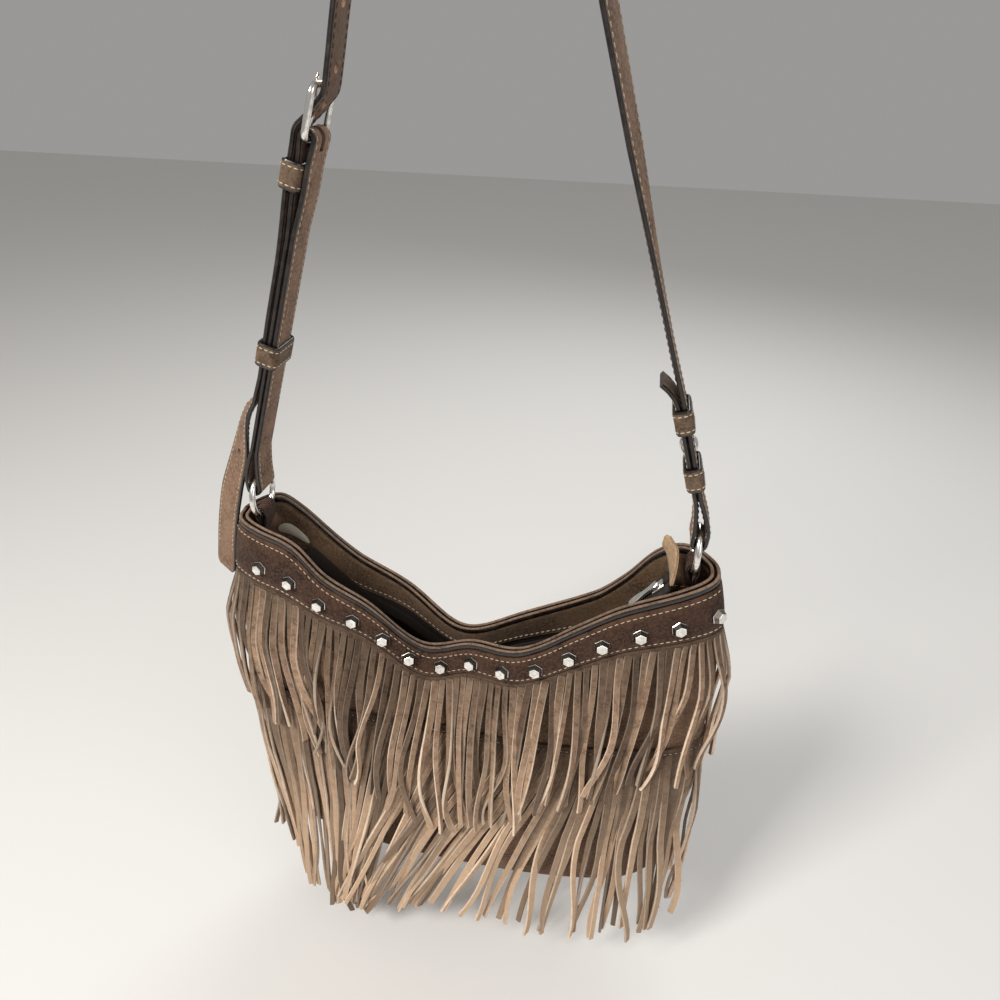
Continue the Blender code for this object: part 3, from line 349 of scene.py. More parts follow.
# %% Paint, thread, metal and cloth
edge_paint, tree, shader = finish("edge_paint", 0.34)
shader.inputs["Coat Weight"].default_value = 0.25
paint_noise = noise(tree, object_space(tree), 240.0, 4.0, 0.6)
tree.links.new(mix(tree, ramp(tree, paint_noise, 0.45, 0.75), srgb(20, 15, 13), srgb(46, 35, 29)),
               shader.inputs["Base Color"])
tree.links.new(ramp(tree, paint_noise, 0.3, 0.7, 0.26, 0.5), shader.inputs["Roughness"])

thread, tree, shader = finish("cream_thread", 0.75)
thread_noise = noise(tree, object_space(tree), 900.0, 3.0, 0.6)
tree.links.new(mix(tree, thread_noise, srgb(166, 149, 127), srgb(210, 196, 174)), shader.inputs["Base Color"])
dark_thread, tree, shader = finish("dark_thread", 0.75)
shader.inputs["Base Color"].default_value = srgb(58, 44, 34)


# %% Nickel
def plated(name, bright, dull, smoothest, roughest):
    """Nickel plate whose polish wears off in small patches."""
    made, tree, shader = finish(name, 0.25, metallic=1.0)
    wear = noise(tree, object_space(tree), 420.0, 5.0, 0.65)
    tree.links.new(mix(tree, ramp(tree, wear, 0.4, 0.72), bright, dull), shader.inputs["Base Color"])
    tree.links.new(ramp(tree, wear, 0.35, 0.7, smoothest, roughest), shader.inputs["Roughness"])
    return made


nickel = plated("worn_nickel", srgb(250, 248, 244), srgb(204, 198, 190), 0.14, 0.34)
# A darker copy of the nickel: on the studs' foot and slanted side it is painted shade; the zip teeth use it too.
dull_nickel_and_shade = plated("dull_nickel_and_shade", srgb(122, 117, 110), srgb(84, 78, 72), 0.24, 0.42)

# %% Woven lining
WEAVE_SCALE, WEAVE_DEPTH = 420.0, 0.0003
lining_cloth, tree, shader = finish("woven_lining", 0.9)
cloth_where = object_space(tree)
yarns = []
for direction in ("X", "Z"):
    wave = fed_node(tree, "TexWave", {"Vector": cloth_where, "Scale": WEAVE_SCALE})
    wave.bands_direction = direction
    yarns.append(wave.outputs["Fac"])
weave = times(tree, *yarns)
tree.links.new(mix(tree, weave, srgb(34, 27, 24), srgb(66, 54, 46)), shader.inputs["Base Color"])
tree.links.new(bumped(tree, weave, 0.4, WEAVE_DEPTH), shader.inputs["Normal"])

floor_paint, tree, shader = finish("pale_floor", 0.9)
shader.inputs["Base Color"].default_value = (*PALE, 1.0)

# %% [markdown]
# ## Building blocks
# Almost every piece here is a strip or a skin, so three helpers make nearly
# everything: `solid` turns points and faces into a closed object with its
# finish, `sweep_mesh` carries a small cross-section along stations, and
# `stitch_mesh` sets short thread capsules along a line.


# %% A closed object
def closed_object(name, points, faces, slots=None):
    """An object from points in millimetres, with its faces turned outwards."""
    mesh = bpy.data.meshes.new(name)
    mesh.from_pydata([place(p) for p in points], [], faces)
    if slots:
        mesh.polygons.foreach_set("material_index", slots)
    form = bmesh.new()
    form.from_mesh(mesh)
    bmesh.ops.recalc_face_normals(form, faces=form.faces)
    form.to_mesh(mesh)
    form.free()
    made = bpy.data.objects.new(name, mesh)
    scene.collection.objects.link(made)
    return made


def solid(name, points, faces, materials, body, replaced=(), slot=None, slots=None, smooth=50.0):
    """A closed object with its finish; it rides on body and stands for the replaced nodes."""
    made = closed_object(name, points, faces, slots)
    for material in materials:
        made.data.materials.append(material)
    if smooth:
        made.data.shade_smooth()
        made.data.set_sharp_from_angle(angle=math.radians(smooth))
    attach(made, body)
    if replaced:
        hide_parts(*replaced)
    return made

# %% The floor
FLOOR_HALF = 4000
floor_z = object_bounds()[0][2] / MM - RING_Z - FLOOR_DROP
corners = [(x * FLOOR_HALF, y * FLOOR_HALF, floor_z) for x, y in ((-1, -1), (1, -1), (1, 1), (-1, 1))]
floor = closed_object("floor", corners, [(0, 1, 2, 3)])
floor.data.materials.append(floor_paint)
print("floor at", round(floor_z), "mm from the ring line")


# %% Sweeps
def tube_faces(count, sides, closed=False):
    """Faces between count rings of points; both ends are capped unless the tube is closed."""
    faces = []
    for i in range(count if closed else count - 1):
        a, b = i * sides, ((i + 1) % count) * sides
        faces += [(a + k, a + (k + 1) % sides, b + (k + 1) % sides, b + k) for k in range(sides)]
    if not closed:
        faces += [tuple(range(sides - 1, -1, -1)), tuple(range((count - 1) * sides, count * sides))]
    return faces


def sweep_mesh(stations, section, closed=False):
    """Points and faces of a cross-section carried through (centre, across, face, width, lift)."""
    points = []
    for centre, across, face, wide, lift in stations:
        points += [centre + across * (a * wide) + face * (f * lift) for a, f in section]
    return points, tube_faces(len(stations), len(section), closed)


# %% Cross-sections and lines
def circle(sides, start=0.0):
    """A unit circle as a cross-section; start turns it by that share of a side."""
    turns = [2 * math.pi * (k + start) / sides for k in range(sides)]
    return [(math.cos(turn), math.sin(turn)) for turn in turns]


def mirrored(half):
    """A whole cross-section from its first half."""
    return list(half) + [(-a, -f) for a, f in half]


def heading(line, i, closed=False):
    """The direction of a line of points at its point i."""
    before = line[i - 1] if (closed or i) else line[0]
    after = line[(i + 1) % len(line)] if (closed or i < len(line) - 1) else line[-1]
    return (after - before).normalized()


def run_lengths(points):
    """How far along a line each of its points lies."""
    run = [0.0]
    for a, b in zip(points, points[1:]):
        run.append(run[-1] + (b - a).length)
    return run


def bend(points, per, closed=False):
    """A smooth line through points, with per steps between each two."""
    count = len(points)
    found = []
    for i in range(count if closed else count - 1):
        p0 = points[i - 1] if (closed or i > 0) else points[0]
        p1, p2 = points[i], points[(i + 1) % count]
        p3 = points[(i + 2) % count] if (closed or i < count - 2) else points[-1]
        span = (p2 - p1).length
        out = (p2 - p0) * (span / max((p2 - p0).length, 1e-6))
        into = (p3 - p1) * (span / max((p3 - p1).length, 1e-6))
        for k in range(per):
            t = k / per
            found.append(p1 * (2 * t**3 - 3 * t**2 + 1) + out * (t**3 - 2 * t**2 + t)
                         + p2 * (3 * t**2 - 2 * t**3) + into * (t**3 - t**2))
    if not closed:
        found.append(points[-1].copy())
    return found


def strip_section(wide, thick, lip):
    """A strap's cross-section: two faces, and painted sides with a groove between the two plies."""
    half, up = wide / 2, thick / 2
    side = [(half - lip, up), (half - 0.35, up - 0.12), (half + 0.15, up * 0.55), (half - 0.1, 0.0),
            (half + 0.15, -up * 0.55), (half - 0.35, 0.12 - up), (half - lip, -up)]
    return mirrored(side)


def strip_slots(rings, ends):
    """Outer face, inner face and painted sides, as material numbers for each face of a strip."""
    return ([2] * 6 + [1] + [2] * 6 + [0]) * rings + [2] * ends

# %% Stitches
STITCH_LONG, STITCH_GAP, STITCH_RADIUS, THREAD_SIDES = 2.5, 1.2, 0.3, 5
THREAD_PROFILE = ((0.0, 0.35, -0.15), (0.2, 1.0, 0.06), (0.8, 1.0, 0.06), (1.0, 0.35, -0.15))


def stitch_mesh(line, ups, long=STITCH_LONG, gap=STITCH_GAP, radius=STITCH_RADIUS):
    """Thread capsules laid end to end on a line of points with their outward directions."""
    parts, run = [], run_lengths(line)
    count = int(run[-1] / (long + gap))

    def at(distance):
        k = min(max(sum(r <= distance for r in run) - 1, 0), len(line) - 2)
        share = (distance - run[k]) / max(run[k + 1] - run[k], 1e-6)
        return line[k].lerp(line[k + 1], share), ups[k].lerp(ups[k + 1], share).normalized()

    for n in range(count):
        start, up = at(n * (long + gap) + gap / 2)
        end, up_end = at(n * (long + gap) + gap / 2 + long)
        along = (end - start).normalized()
        beside = along.cross(up).normalized()
        stations = [(start.lerp(end, share) + up * lift, beside, up, radius * size, radius * size)
                    for share, size, lift in THREAD_PROFILE]
        parts.append(sweep_mesh(stations, circle(THREAD_SIDES)))
    return join(parts)


def join(parts):
    """Several (points, faces) lists as one."""
    points, faces = [], []
    for more_points, more_faces in parts:
        base = len(points)
        points += more_points
        faces += [tuple(i + base for i in face) for face in more_faces]
    return points, faces


# %% [markdown]
# ## The body's form
# The bag is a soft pouch: round in plan, widest below the collar and pinched
# at the middle of its mouth.  A few height curves say how wide and deep it is,
# and `surface` gives a point of it from an angle, a side and a height.  Every
# suede layer is the same surface moved out or in, so the layers fit.

# %% Sizes of the body
HALF_WIDTH = ((20, 138), (-14, 145), (-50, 153), (-100, 158), (-180, 156), (-262, 149))
HALF_DEPTH = ((20, 26), (-14, 27.5), (-50, 30), (-100, 34), (-160, 38), (-220, 40), (-262, 37))
CORNER_TOP, BODY_BOTTOM, CORNER_SIDE, BASE_HALF_DEPTH = -262.0, -314.0, 46.0, 7.0
ROUNDNESS, PINCH_END = 0.75, -168.0
FRONT_PINCH = (15.0, -8.0, 27.0, 27.0)
BACK_PINCH = (24.0, 4.0, 32.0, 46.0)
RIM_FRONT = ((-147, -14), (-128, -16), (-105, -21), (-86, -38), (-58, -54), (-24, -86),
             (8, -78), (38, -71), (73, -46), (95, -32), (128, -20), (147, -14))
RIM_BACK = ((-147, -14), (-128, -9), (-117, -18), (-96, -44), (-79, -60), (-49, -75),
            (-9, -93), (32, -77), (77, -59), (95, -42), (112, -18), (128, -9), (147, -14))
COLLAR_TALL = ((-150, 38), (-105, 38), (-79, 29), (-50, 23.5), (-10, 21), (20, 22.5), (76, 28), (110, 31),
               (150, 35))


# %% Reading the body's curves
def curve(knots, x):
    """Read a smooth curve through its knots, held level past both ends."""
    if x <= knots[0][0]:
        return knots[0][1]
    if x >= knots[-1][0]:
        return knots[-1][1]
    last = len(knots) - 1
    at = max(i for i in range(last) if knots[i][0] <= x)

    def slope(i):
        low, high = max(i - 1, 0), min(i + 1, last)
        return (knots[high][1] - knots[low][1]) / (knots[high][0] - knots[low][0])

    (x0, y0), (x1, y1) = knots[at], knots[at + 1]
    span = x1 - x0
    t = (x - x0) / span
    return ((2 * t**3 - 3 * t**2 + 1) * y0 + (t**3 - 2 * t**2 + t) * span * slope(at)
            + (3 * t**2 - 2 * t**3) * y1 + (t**3 - t**2) * span * slope(at + 1))


def falling(knots, z):
    return curve(tuple((-height, value) for height, value in knots), -z)


def corner_share(z):
    drop = min(max((CORNER_TOP - z) / (CORNER_TOP - BODY_BOTTOM), 0.0), 1.0)
    return math.sqrt(max(1 - drop**2, 0.0))


def half_width(z):
    return falling(HALF_WIDTH, z) - CORNER_SIDE * (1 - corner_share(z))


def half_depth(z):
    return BASE_HALF_DEPTH + (falling(HALF_DEPTH, z) - BASE_HALF_DEPTH) * corner_share(z)


def rim(side, x):
    return curve(RIM_FRONT if side < 0 else RIM_BACK, x)


def hump(shape, x):
    tall, middle, left, right = shape
    return tall * math.exp(-0.5 * ((x - middle) / (left if x < middle else right)) ** 2)


# %% Points on the body
def plan_point(theta, side, z):
    """A point of the body's outside: theta from the left end to the right, side -1 front or 1 back."""
    x = -half_width(z) * math.cos(theta)
    lens = max(math.sin(theta), 0.0) ** ROUNDNESS
    fade = min(max((z - PINCH_END) / (rim(side, x) - PINCH_END), 0.0), 1.0)
    pinch = hump(FRONT_PINCH if side < 0 else BACK_PINCH, x) * fade * fade * (3 - 2 * fade) * lens
    return Vector((x, side * (half_depth(z) * lens - pinch), z))


def outward(theta, side, z):
    step = 0.004
    if theta < step or theta > math.pi - step:
        return Vector((-1.0 if theta < 1 else 1.0, 0.0, 0.0))
    along = plan_point(theta + step, side, z) - plan_point(theta - step, side, z)
    return (Vector((-along.y, along.x, 0.0)) * side).normalized()


def surface(theta, side, z, offset=0.0):
    """A point of the body moved outwards by offset."""
    return plan_point(theta, side, z) + outward(theta, side, z) * offset


def even_thetas(count, z=-100.0):
    fine = 1200
    run = run_lengths([plan_point(math.pi * i / fine, -1, z) for i in range(fine + 1)])
    found, at = [], 0
    for k in range(count + 1):
        want = run[-1] * k / count
        while at < fine - 1 and run[at + 1] < want:
            at += 1
        found.append(math.pi * (at + (want - run[at]) / (run[at + 1] - run[at])) / fine)
    return found


def collar_height(side, theta, share):
    """0 is the rim and 1 the collar's seam."""
    x = -HALF_WIDTH[3][1] * math.cos(theta)
    for _ in range(6):
        x = -half_width(rim(side, x)) * math.cos(theta)
    return rim(side, x) - curve(COLLAR_TALL, -HALF_WIDTH[1][1] * math.cos(theta)) * share


# %% [markdown]
# ## Shell and lining
# The body is one pouch of dark suede with a woven lining inside.  Each skin is
# a grid of points round the body, closed with a thin inner copy so that it has
# a real thickness, and shaded smooth.

# %% Layers of the body
FINE_STEPS = 110
SHELL_THICK, LINING_THICK, LAYER_GAP, FACING_THICK = 1.6, 0.8, 0.4, 1.4
COLLAR_GAP, COLLAR_FACE = 0.7, 2.5
BINDING_TALL, BINDING_GAP = 4.6, 0.5
END_GAP = 0.006
fine_thetas = even_thetas(FINE_STEPS)
AROUND = [(t, -1) for t in fine_thetas] + [(t, 1) for t in reversed(fine_thetas[1:-1])]
LOW_TOP, LOW_STEP, CORNER_ROWS = -124, 6, 12
LOW_LEVELS = [LOW_TOP - LOW_STEP * i for i in range(23)]
LOW_LEVELS += [CORNER_TOP + (BODY_BOTTOM - CORNER_TOP) * math.sin(math.pi / 2 * i / CORNER_ROWS)
               for i in range(1, CORNER_ROWS + 1)]


def open_thetas():
    """The fine steps with a small gap at both ends, where front and back pieces meet."""
    return [fine_thetas[0] + END_GAP] + fine_thetas[1:-1] + [fine_thetas[-1] - END_GAP]


def layer_height(side, theta, share):
    """0 is the cut edge under the rolled rim and 1 the collar's seam."""
    top = collar_height(side, theta, 0.0) - BINDING_TALL - BINDING_GAP
    return top + (collar_height(side, theta, 1.0) - top) * share


def skin_faces(rows, columns, closed):
    """Faces of a sheet between an outer and an inner grid."""
    inner, faces = rows * columns, []
    last = columns if closed else columns - 1
    for r in range(rows - 1):
        for c in range(last):
            a, b = r * columns + c, r * columns + (c + 1) % columns
            faces.append((a, b, b + columns, a + columns))
            faces.append((inner + a, inner + a + columns, inner + b + columns, inner + b))
    for r in (0, rows - 1):
        for c in range(last):
            a, b = r * columns + c, r * columns + (c + 1) % columns
            faces.append((a, inner + a, inner + b, b))
    if not closed:
        for r in range(rows - 1):
            for a in (r * columns, (r + 1) * columns - 1):
                faces.append((a, a + columns, inner + a + columns, inner + a))
    return faces


# %% Shell and lining
def pouch(name, outer, inner, first, material, node, slot):
    """The shell or the lining: rows from the mouth down, on its outer and its inner face."""
    points = []
    for offset in (outer, inner):
        for k in [first + (1 - first) * i / 6 for i in range(7)] + [1.3, 1.6]:
            blend = max(k - 1, 0.0)
            for t, side in AROUND:
                z = layer_height(side, t, min(k, 1.0)) * (1 - blend) + LOW_LEVELS[0] * blend
                points.append(surface(t, side, z, offset))
        for z in LOW_LEVELS:
            lift = -offset * min(max((CORNER_TOP - z) / (CORNER_TOP - BODY_BOTTOM), 0.0), 1.0)
            points += [surface(t, side, z, offset) + Vector((0, 0, lift)) for t, side in AROUND]
    columns = 2 * FINE_STEPS
    rows = len(points) // columns // 2
    faces = skin_faces(rows, columns, True)[:-columns]
    for base in (0, rows * columns):
        start = base + (rows - 1) * columns
        for c in range(FINE_STEPS):
            ring = [start + c, start + c + 1, start + columns - c - 1, start + (columns - c) % columns]
            faces.append(tuple(dict.fromkeys(ring)))
    solid(name, points, faces, [material], "bag", (node,), slot)
    print(name, "has", len(faces), "faces")


pouch("suede_shell", 0.0, -SHELL_THICK, 0.0, body_suede, "body_shell", "dark_suede")
LINING_OUT = -SHELL_THICK - LAYER_GAP
FACING_FACE = LINING_OUT - FACING_THICK
pouch("woven_pouch", LINING_OUT, LINING_OUT - LINING_THICK, 0.97, lining_cloth, "lining", "lining_cloth")

# %% [markdown]
# ## Collar, facing and rolled rim
# The collar is a stiffer band that scoops down in the middle.  Its folded edge and the facing's folded edge stand up
# side by side as two painted rolls, with a cream stitch line below them and another along the seam.  The top of each
# roll takes a lighter leather, partly the fold's own leather and partly a painted highlight where light from above
# catches the crest.


# %% Collar and facing
def band(name, side, outer, inner, material, node, slot, puff=0.0):
    """A collar or facing; puff swells its outer face between its two edges."""
    rows, thetas, points = 9, open_thetas(), []
    for offset, sign in ((outer, 1), (inner, 0)):
        for r in range(rows):
            k = r / (rows - 1)
            swell = puff * sign * (1 - abs(2 * k - 1) ** 3)
            edge = 0.5 * sign * (1 if r in (0, rows - 1) else 0)
            points += [surface(t, side, layer_height(side, t, k), offset + swell - edge) for t in thetas]
    solid(name, points, skin_faces(rows, len(thetas), False), [material], "bag", (node,), slot)


SIDES = ((-1, "front"), (1, "back"))
for side, end in SIDES:
    band("collar_band_" + end, side, COLLAR_FACE, COLLAR_GAP, collar_suede, "collar_" + end, "dark_suede", 0.5)
    band("facing_band_" + end, side, LINING_OUT, FACING_FACE, facing_suede, "facing_" + end, "dark_suede")

# %% Rolled rim
ROLL_RADIUS, ROLL_TALL, ROLL_SIDES = 1.4, 2.3, 16
ROLL_OUTER, ROLL_INNER = 1.5, -2.2
# The upward faces of each roll, which take the lighter crest leather: a painted highlight on top of the fold's own
# leather.
CREST_HIGHLIGHT_FACES = range(2, 6)


def roll(offset):
    stations = []
    for t, side in AROUND:
        top = collar_height(side, t, 0.0)
        here = surface(t, side, top, offset)
        here.z = top - BINDING_TALL / 2
        stations.append((here, outward(t, side, top), Vector((0, 0, 1)), ROLL_RADIUS, ROLL_TALL))
    return sweep_mesh(stations, circle(ROLL_SIDES), closed=True)


points, faces = join((roll(ROLL_OUTER), roll(ROLL_INNER)))
slots = [1 if k in CREST_HIGHLIGHT_FACES else 0 for k in range(ROLL_SIDES)] * (len(faces) // ROLL_SIDES)
solid("rolled_rim", points, faces, [edge_paint, crest_leather_and_highlight], "bag", ("rim_binding",), "edge_paint", slots=slots)

# %% A plain oval patch inside the left end
PATCH_X, PATCH_DROP, PATCH_LONG, PATCH_TALL, PATCH_STEPS = -124.0, 26.0, 9.5, 4.8, 28
PATCH_RINGS = ((1.0, 0.15), (1.0, 0.65), (0.86, 1.2))
patch_points = []
for share, lift in PATCH_RINGS:
    for a, b in circle(PATCH_STEPS):
        x = PATCH_X + PATCH_LONG * share * a
        z = rim(1, x) - PATCH_DROP + PATCH_TALL * share * b
        theta = math.acos(max(-1.0, min(1.0, -x / half_width(z))))
        patch_points.append(surface(theta, 1, z, FACING_FACE - lift))
patch_faces = tube_faces(len(PATCH_RINGS), PATCH_STEPS)
oval_patch, tree, shader = finish("pale_patch", 0.6)
shader.inputs["Base Color"].default_value = srgb(186, 176, 158)
solid("inside_patch", patch_points, patch_faces, [oval_patch], "bag", slot="dark_suede")

# %% Stitch lines on the body
SEAM_INSET, RIM_INSET, FACING_INSET = 2.6, 7.4, 3.5


def body_line(side, height, offset, trim=2):
    thetas = fine_thetas[trim:len(fine_thetas) - trim]
    line = [surface(t, side, height(side, t), offset) for t in thetas]
    ups = [outward(t, side, height(side, t)) * (1 if offset > 0 else -1) for t in thetas]
    return stitch_mesh(line, ups)


points, faces = join([body_line(side, height, offset) for side, _ in SIDES for height, offset in (
    (lambda s, t: collar_height(s, t, 0.0) - RIM_INSET, COLLAR_FACE + 0.25),
    (lambda s, t: collar_height(s, t, 1.0) + SEAM_INSET, COLLAR_FACE + 0.2),
    (lambda s, t: collar_height(s, t, 1.0) + FACING_INSET, FACING_FACE - 0.1))])
solid("body_stitches", points, faces, [thread], "bag", smooth=80.0)
print("stitch faces on the body:", len(faces))

# %% [markdown]
# ## Studs
# Nickel studs with a flat top step evenly along the collar.  Each is turned to the surface under it, and a narrow
# bevel catches the light on every facet, so they sparkle as the real ones do.  The foot and the long slanted side
# take a darker copy of the nickel as painted shade, while the bevels and the top stay bright.

# %% Studs
STUDS = {-1: ("front", 15, (0.09, 0.972)), 1: ("back", 13, (0.06, 0.94))}
STUD_LINE, STUD_SEAT, STUD_SIDES, BRIGHT_RINGS = 0.66, 0.2, 6, (1, 3, 4)
STUD_PROFILE = ((5.0, 0.0), (5.0, 0.75), (4.75, 1.05), (3.5, 3.9), (3.25, 4.1), (2.6, 4.15))


def stud_thetas(side, count, span):
    """Even steps along the collar, between two shares of its length."""
    fine = 400
    turns = [math.pi * i / fine for i in range(fine + 1)]
    run = run_lengths([surface(turn, side, collar_height(side, turn, STUD_LINE)) for turn in turns])
    wants = [run[-1] * (span[0] + (span[1] - span[0]) * k / (count - 1)) for k in range(count)]
    return [turns[max(i for i in range(fine) if run[i] <= want)] for want in wants]


def stud_mesh(side, theta):
    """A stud turned to the collar's surface under it."""
    def spot(t, k):
        return surface(t, side, collar_height(side, t, k), COLLAR_FACE)
    along = (spot(theta + 0.02, STUD_LINE) - spot(theta - 0.02, STUD_LINE)).normalized()
    down = (spot(theta, STUD_LINE + 0.12) - spot(theta, STUD_LINE - 0.12)).normalized()
    out = along.cross(down).normalized()
    if out.dot(outward(theta, side, collar_height(side, theta, STUD_LINE))) < 0:
        out = -out
    beside = out.cross(down).normalized()
    base = spot(theta, STUD_LINE) + out * STUD_SEAT
    stations = [(base + out * lift, beside, down, radius, radius) for radius, lift in STUD_PROFILE]
    return sweep_mesh(stations, circle(STUD_SIDES, 0.5))


for side, (end, count, span) in STUDS.items():
    for number, theta in enumerate(stud_thetas(side, count, span), 1):
        points, faces = stud_mesh(side, theta)
        # Bevels, top and caps take the bright nickel; the foot and the slanted side take the darker copy as painted
        # shade.
        slots = [0 if k // STUD_SIDES in BRIGHT_RINGS else 1 for k in range(len(faces) - 2)] + [0, 0]
        label = f"{end}_{number:02d}"
        solid("stud_cap_" + label, points, faces, [nickel, dull_nickel_and_shade], "bag", ("stud_" + label,), "nickel",
              slots=slots, smooth=None)
    print("studs at the", end, count)

# %% [markdown]
# ## Fringe
# Each tier is a strip of suede cut into strands.  A strand is a thin ribbon that hangs from the uncut header, tapers
# a little, twists and drifts.  The lower tier was swept to the left when the bag was hung, so a drift curve says how
# far each strand's end lies from straight down.  The cut edges are paler, partly because the knife opens the raw
# suede and partly as a painted highlight on the rounded edges.  The headers, the upper part of each strand and some
# whole strands are darkened as painted shade.

# %% Fringe sizes
UPPER = {"top": lambda s, t: collar_height(s, t, 1.0) - 1.0, "header": 4.5, "strands": 70, "wide": 4.7,
         "length": ((-160, 112), (-60, 120), (-20, 122), (40, 120), (160, 114)),
         "drift": ((-160, 4), (-110, 10), (-80, -4), (-40, -12), (0, -6), (60, 0), (110, -4), (160, -10)),
         "offsets": (1.2, 6.2)}
LOWER = {"top": lambda s, t: -141.0, "header": 8.0, "strands": 112, "wide": 5.4,
         "length": ((-160, 186), (-100, 226), (-40, 224), (20, 230), (60, 220), (110, 208), (160, 180)),
         "drift": ((-160, 2), (-118, -4), (-80, -22), (-40, -52), (0, -80), (35, -88), (62, -66), (88, -20),
                   (120, 4), (160, 8)),
         "offsets": (1.0, 2.6)}
HANG_HEIGHT, STRAND_THICK, STRAND_STEPS = -228.0, 2.0, 15
LENGTH_SPREAD, DRIFT_SPREAD, WAVE_SPREAD, SWAY_SPREAD, CLUMP_SPREAD = 3.0, 2.6, 4.2, 2.4, 6.0
CALM_SHARE, CALM_TWIST, WILD_TWIST = 0.65, 0.6, 1.6
LAYER_DEPTH, CURL_SHARE, CURL_SIZE, CURL_REACH, SLANT = 4.4, 0.12, 9, 120, 0.7
WIDTH_RANGE, TIP_TAPER, SWELL_LENGTH, STEEPEST = (0.7, 1.12), 0.14, 45.0, 0.55


# %% One strand
def strand(side, theta, tier, rng, mirror, lean):
    """One hanging strip: stations from the header down to its cut tip."""
    x = -HALF_WIDTH[3][1] * math.cos(theta)
    length = curve(tier["length"], x) + rng.gauss(0, LENGTH_SPREAD)
    drift = curve(tier["drift"], x) * mirror + rng.gauss(0, DRIFT_SPREAD) + lean
    wave, phase = rng.gauss(0, WAVE_SPREAD), rng.uniform(0, 6.28)
    sway, sway_phase = rng.gauss(0, SWAY_SPREAD), rng.uniform(0, 6.28)
    twist = rng.gauss(0, CALM_TWIST) if rng.random() < CALM_SHARE else rng.gauss(0, WILD_TWIST)
    layer = rng.uniform(0, LAYER_DEPTH)
    curl = rng.uniform(-CURL_SIZE, CURL_SIZE) if rng.random() < CURL_SHARE and abs(x) < CURL_REACH else 0.0
    slant = rng.uniform(-SLANT, SLANT)
    wide = tier["wide"] * rng.uniform(*WIDTH_RANGE)
    root_off, free_off = tier["offsets"]
    top = tier["top"](side, theta) - tier["header"] + 2.0
    out = outward(theta, side, top)
    line = []
    for k in range(STRAND_STEPS + 1):
        s = k / STRAND_STEPS
        fall = (length - tier["header"]) * s
        sideways = drift * s**0.97
        z = top - math.sqrt(max(fall**2 - sideways**2, (STEEPEST * fall) ** 2))
        swell = min((top + tier["header"] - z) / SWELL_LENGTH, 1.0)
        offset = root_off + (free_off - root_off) * swell * swell * (3 - 2 * swell) + layer * min(s * 3, 1)
        here = surface(theta, side, max(z, HANG_HEIGHT), offset)
        here.z = z
        here.x += sideways + wave * s * math.sin(phase + 5.5 * s) + curl * max(s - 0.75, 0) ** 2 * 16
        line.append(here + out * (sway * s * math.sin(sway_phase + 4.5 * s)))
    made = []
    for k, here in enumerate(line):
        s = k / STRAND_STEPS
        along = heading(line, k)
        across = along.cross(out).normalized()
        face = across.cross(along).normalized()
        turn = twist * s**1.5
        turned = across * math.cos(turn) + face * math.sin(turn)
        lifted = face * math.cos(turn) - across * math.sin(turn)
        if k == STRAND_STEPS:
            turned = turned + along * slant
        made.append((here, turned, lifted, wide * (1 - TIP_TAPER * s), STRAND_THICK))
    return made

# %% A tier of strands
STRAND_SECTION = mirrored(((-0.5, 0.2), (-0.39, 0.5), (0.39, 0.5), (0.5, 0.2)))
STRAND_RING = (1, 0, 1, 1, 1, 0, 1, 1)
HEADER_ROWS, HEADER_SHADE = 4, 0.1


def fringe(name, side, tier, seed, node, mirror=1.0):
    rng = random.Random(seed)
    parts, slots, painted_shading = [], [], []
    thetas = even_thetas(tier["strands"])
    spots = [(a + b) / 2 for a, b in zip(thetas, thetas[1:])]
    clumps = [rng.gauss(0, CLUMP_SPREAD) for _ in range(len(spots) // 3 + 2)]
    for number, theta in enumerate(spots):
        clump, part = divmod(number / 3.0, 1.0)
        lean = clumps[int(clump)] * (1 - part) + clumps[int(clump) + 1] * part
        stations = strand(side, theta, tier, rng, mirror, lean)
        parts.append(sweep_mesh(stations, STRAND_SECTION))
        # Painted shade: a random darkening per strand, for strands lying back in shadow, stronger along the upper
        # part of each strand.
        depth = rng.uniform(0.1, 1.0)
        for k in range(len(stations)):
            painted_shading += [depth * min(0.35 + 1.3 * k / STRAND_STEPS, 1.0)] * len(STRAND_SECTION)
        slots += list(STRAND_RING) * (len(stations) - 1) + [1, 1]
    points, header_thetas = [], open_thetas()
    for offset in (tier["offsets"][0] + STRAND_THICK / 2, tier["offsets"][0] - STRAND_THICK / 2):
        for r in range(HEADER_ROWS):
            down = tier["header"] * r / (HEADER_ROWS - 1)
            points += [surface(t, side, tier["top"](side, t) - down, offset) for t in header_thetas]
    # The header gets a low value: painted shade where it lies under the collar or the upper tier.
    painted_shading += [HEADER_SHADE] * len(points)
    header = skin_faces(HEADER_ROWS, len(header_thetas), False)
    parts.append((points, header))
    slots += [0] * len(header)
    points, faces = join(parts)
    made = solid(name, points, faces, [strand_suede, strand_edge_and_highlight], "bag", (node,), "fringe_suede",
                 slots=slots, smooth=40.0)
    made.data.attributes.new("painted_shade", "FLOAT", "POINT").data.foreach_set("value", painted_shading)
    print(name, "has", len(spots), "strands")


for side, end, mirror in ((-1, "front", 1.0), (1, "back", 0.45)):
    fringe("upper_strands_" + end, side, UPPER, 11 + side, "fringe_upper_" + end, mirror)
    fringe("lower_strands_" + end, side, LOWER, 31 + side, "fringe_lower_" + end, mirror)

tier_lines = [body_line(side, lambda s, t: LOWER["top"](s, t) - 4.0, LOWER["offsets"][0] + 0.8) for side, _ in SIDES]
solid("tier_stitches", *join(tier_lines), [thread], "bag", smooth=80.0)

# %% [markdown]
# ## Straps
# The long strap runs from the right ring over the top to the buckle, and its
# tail hangs past the left ring.  The short strap is a doubled loop between the
# buckle's bar and the left ring.  Both are two plies glued and sewn, with a
# painted edge, so one strip section with three materials makes them.

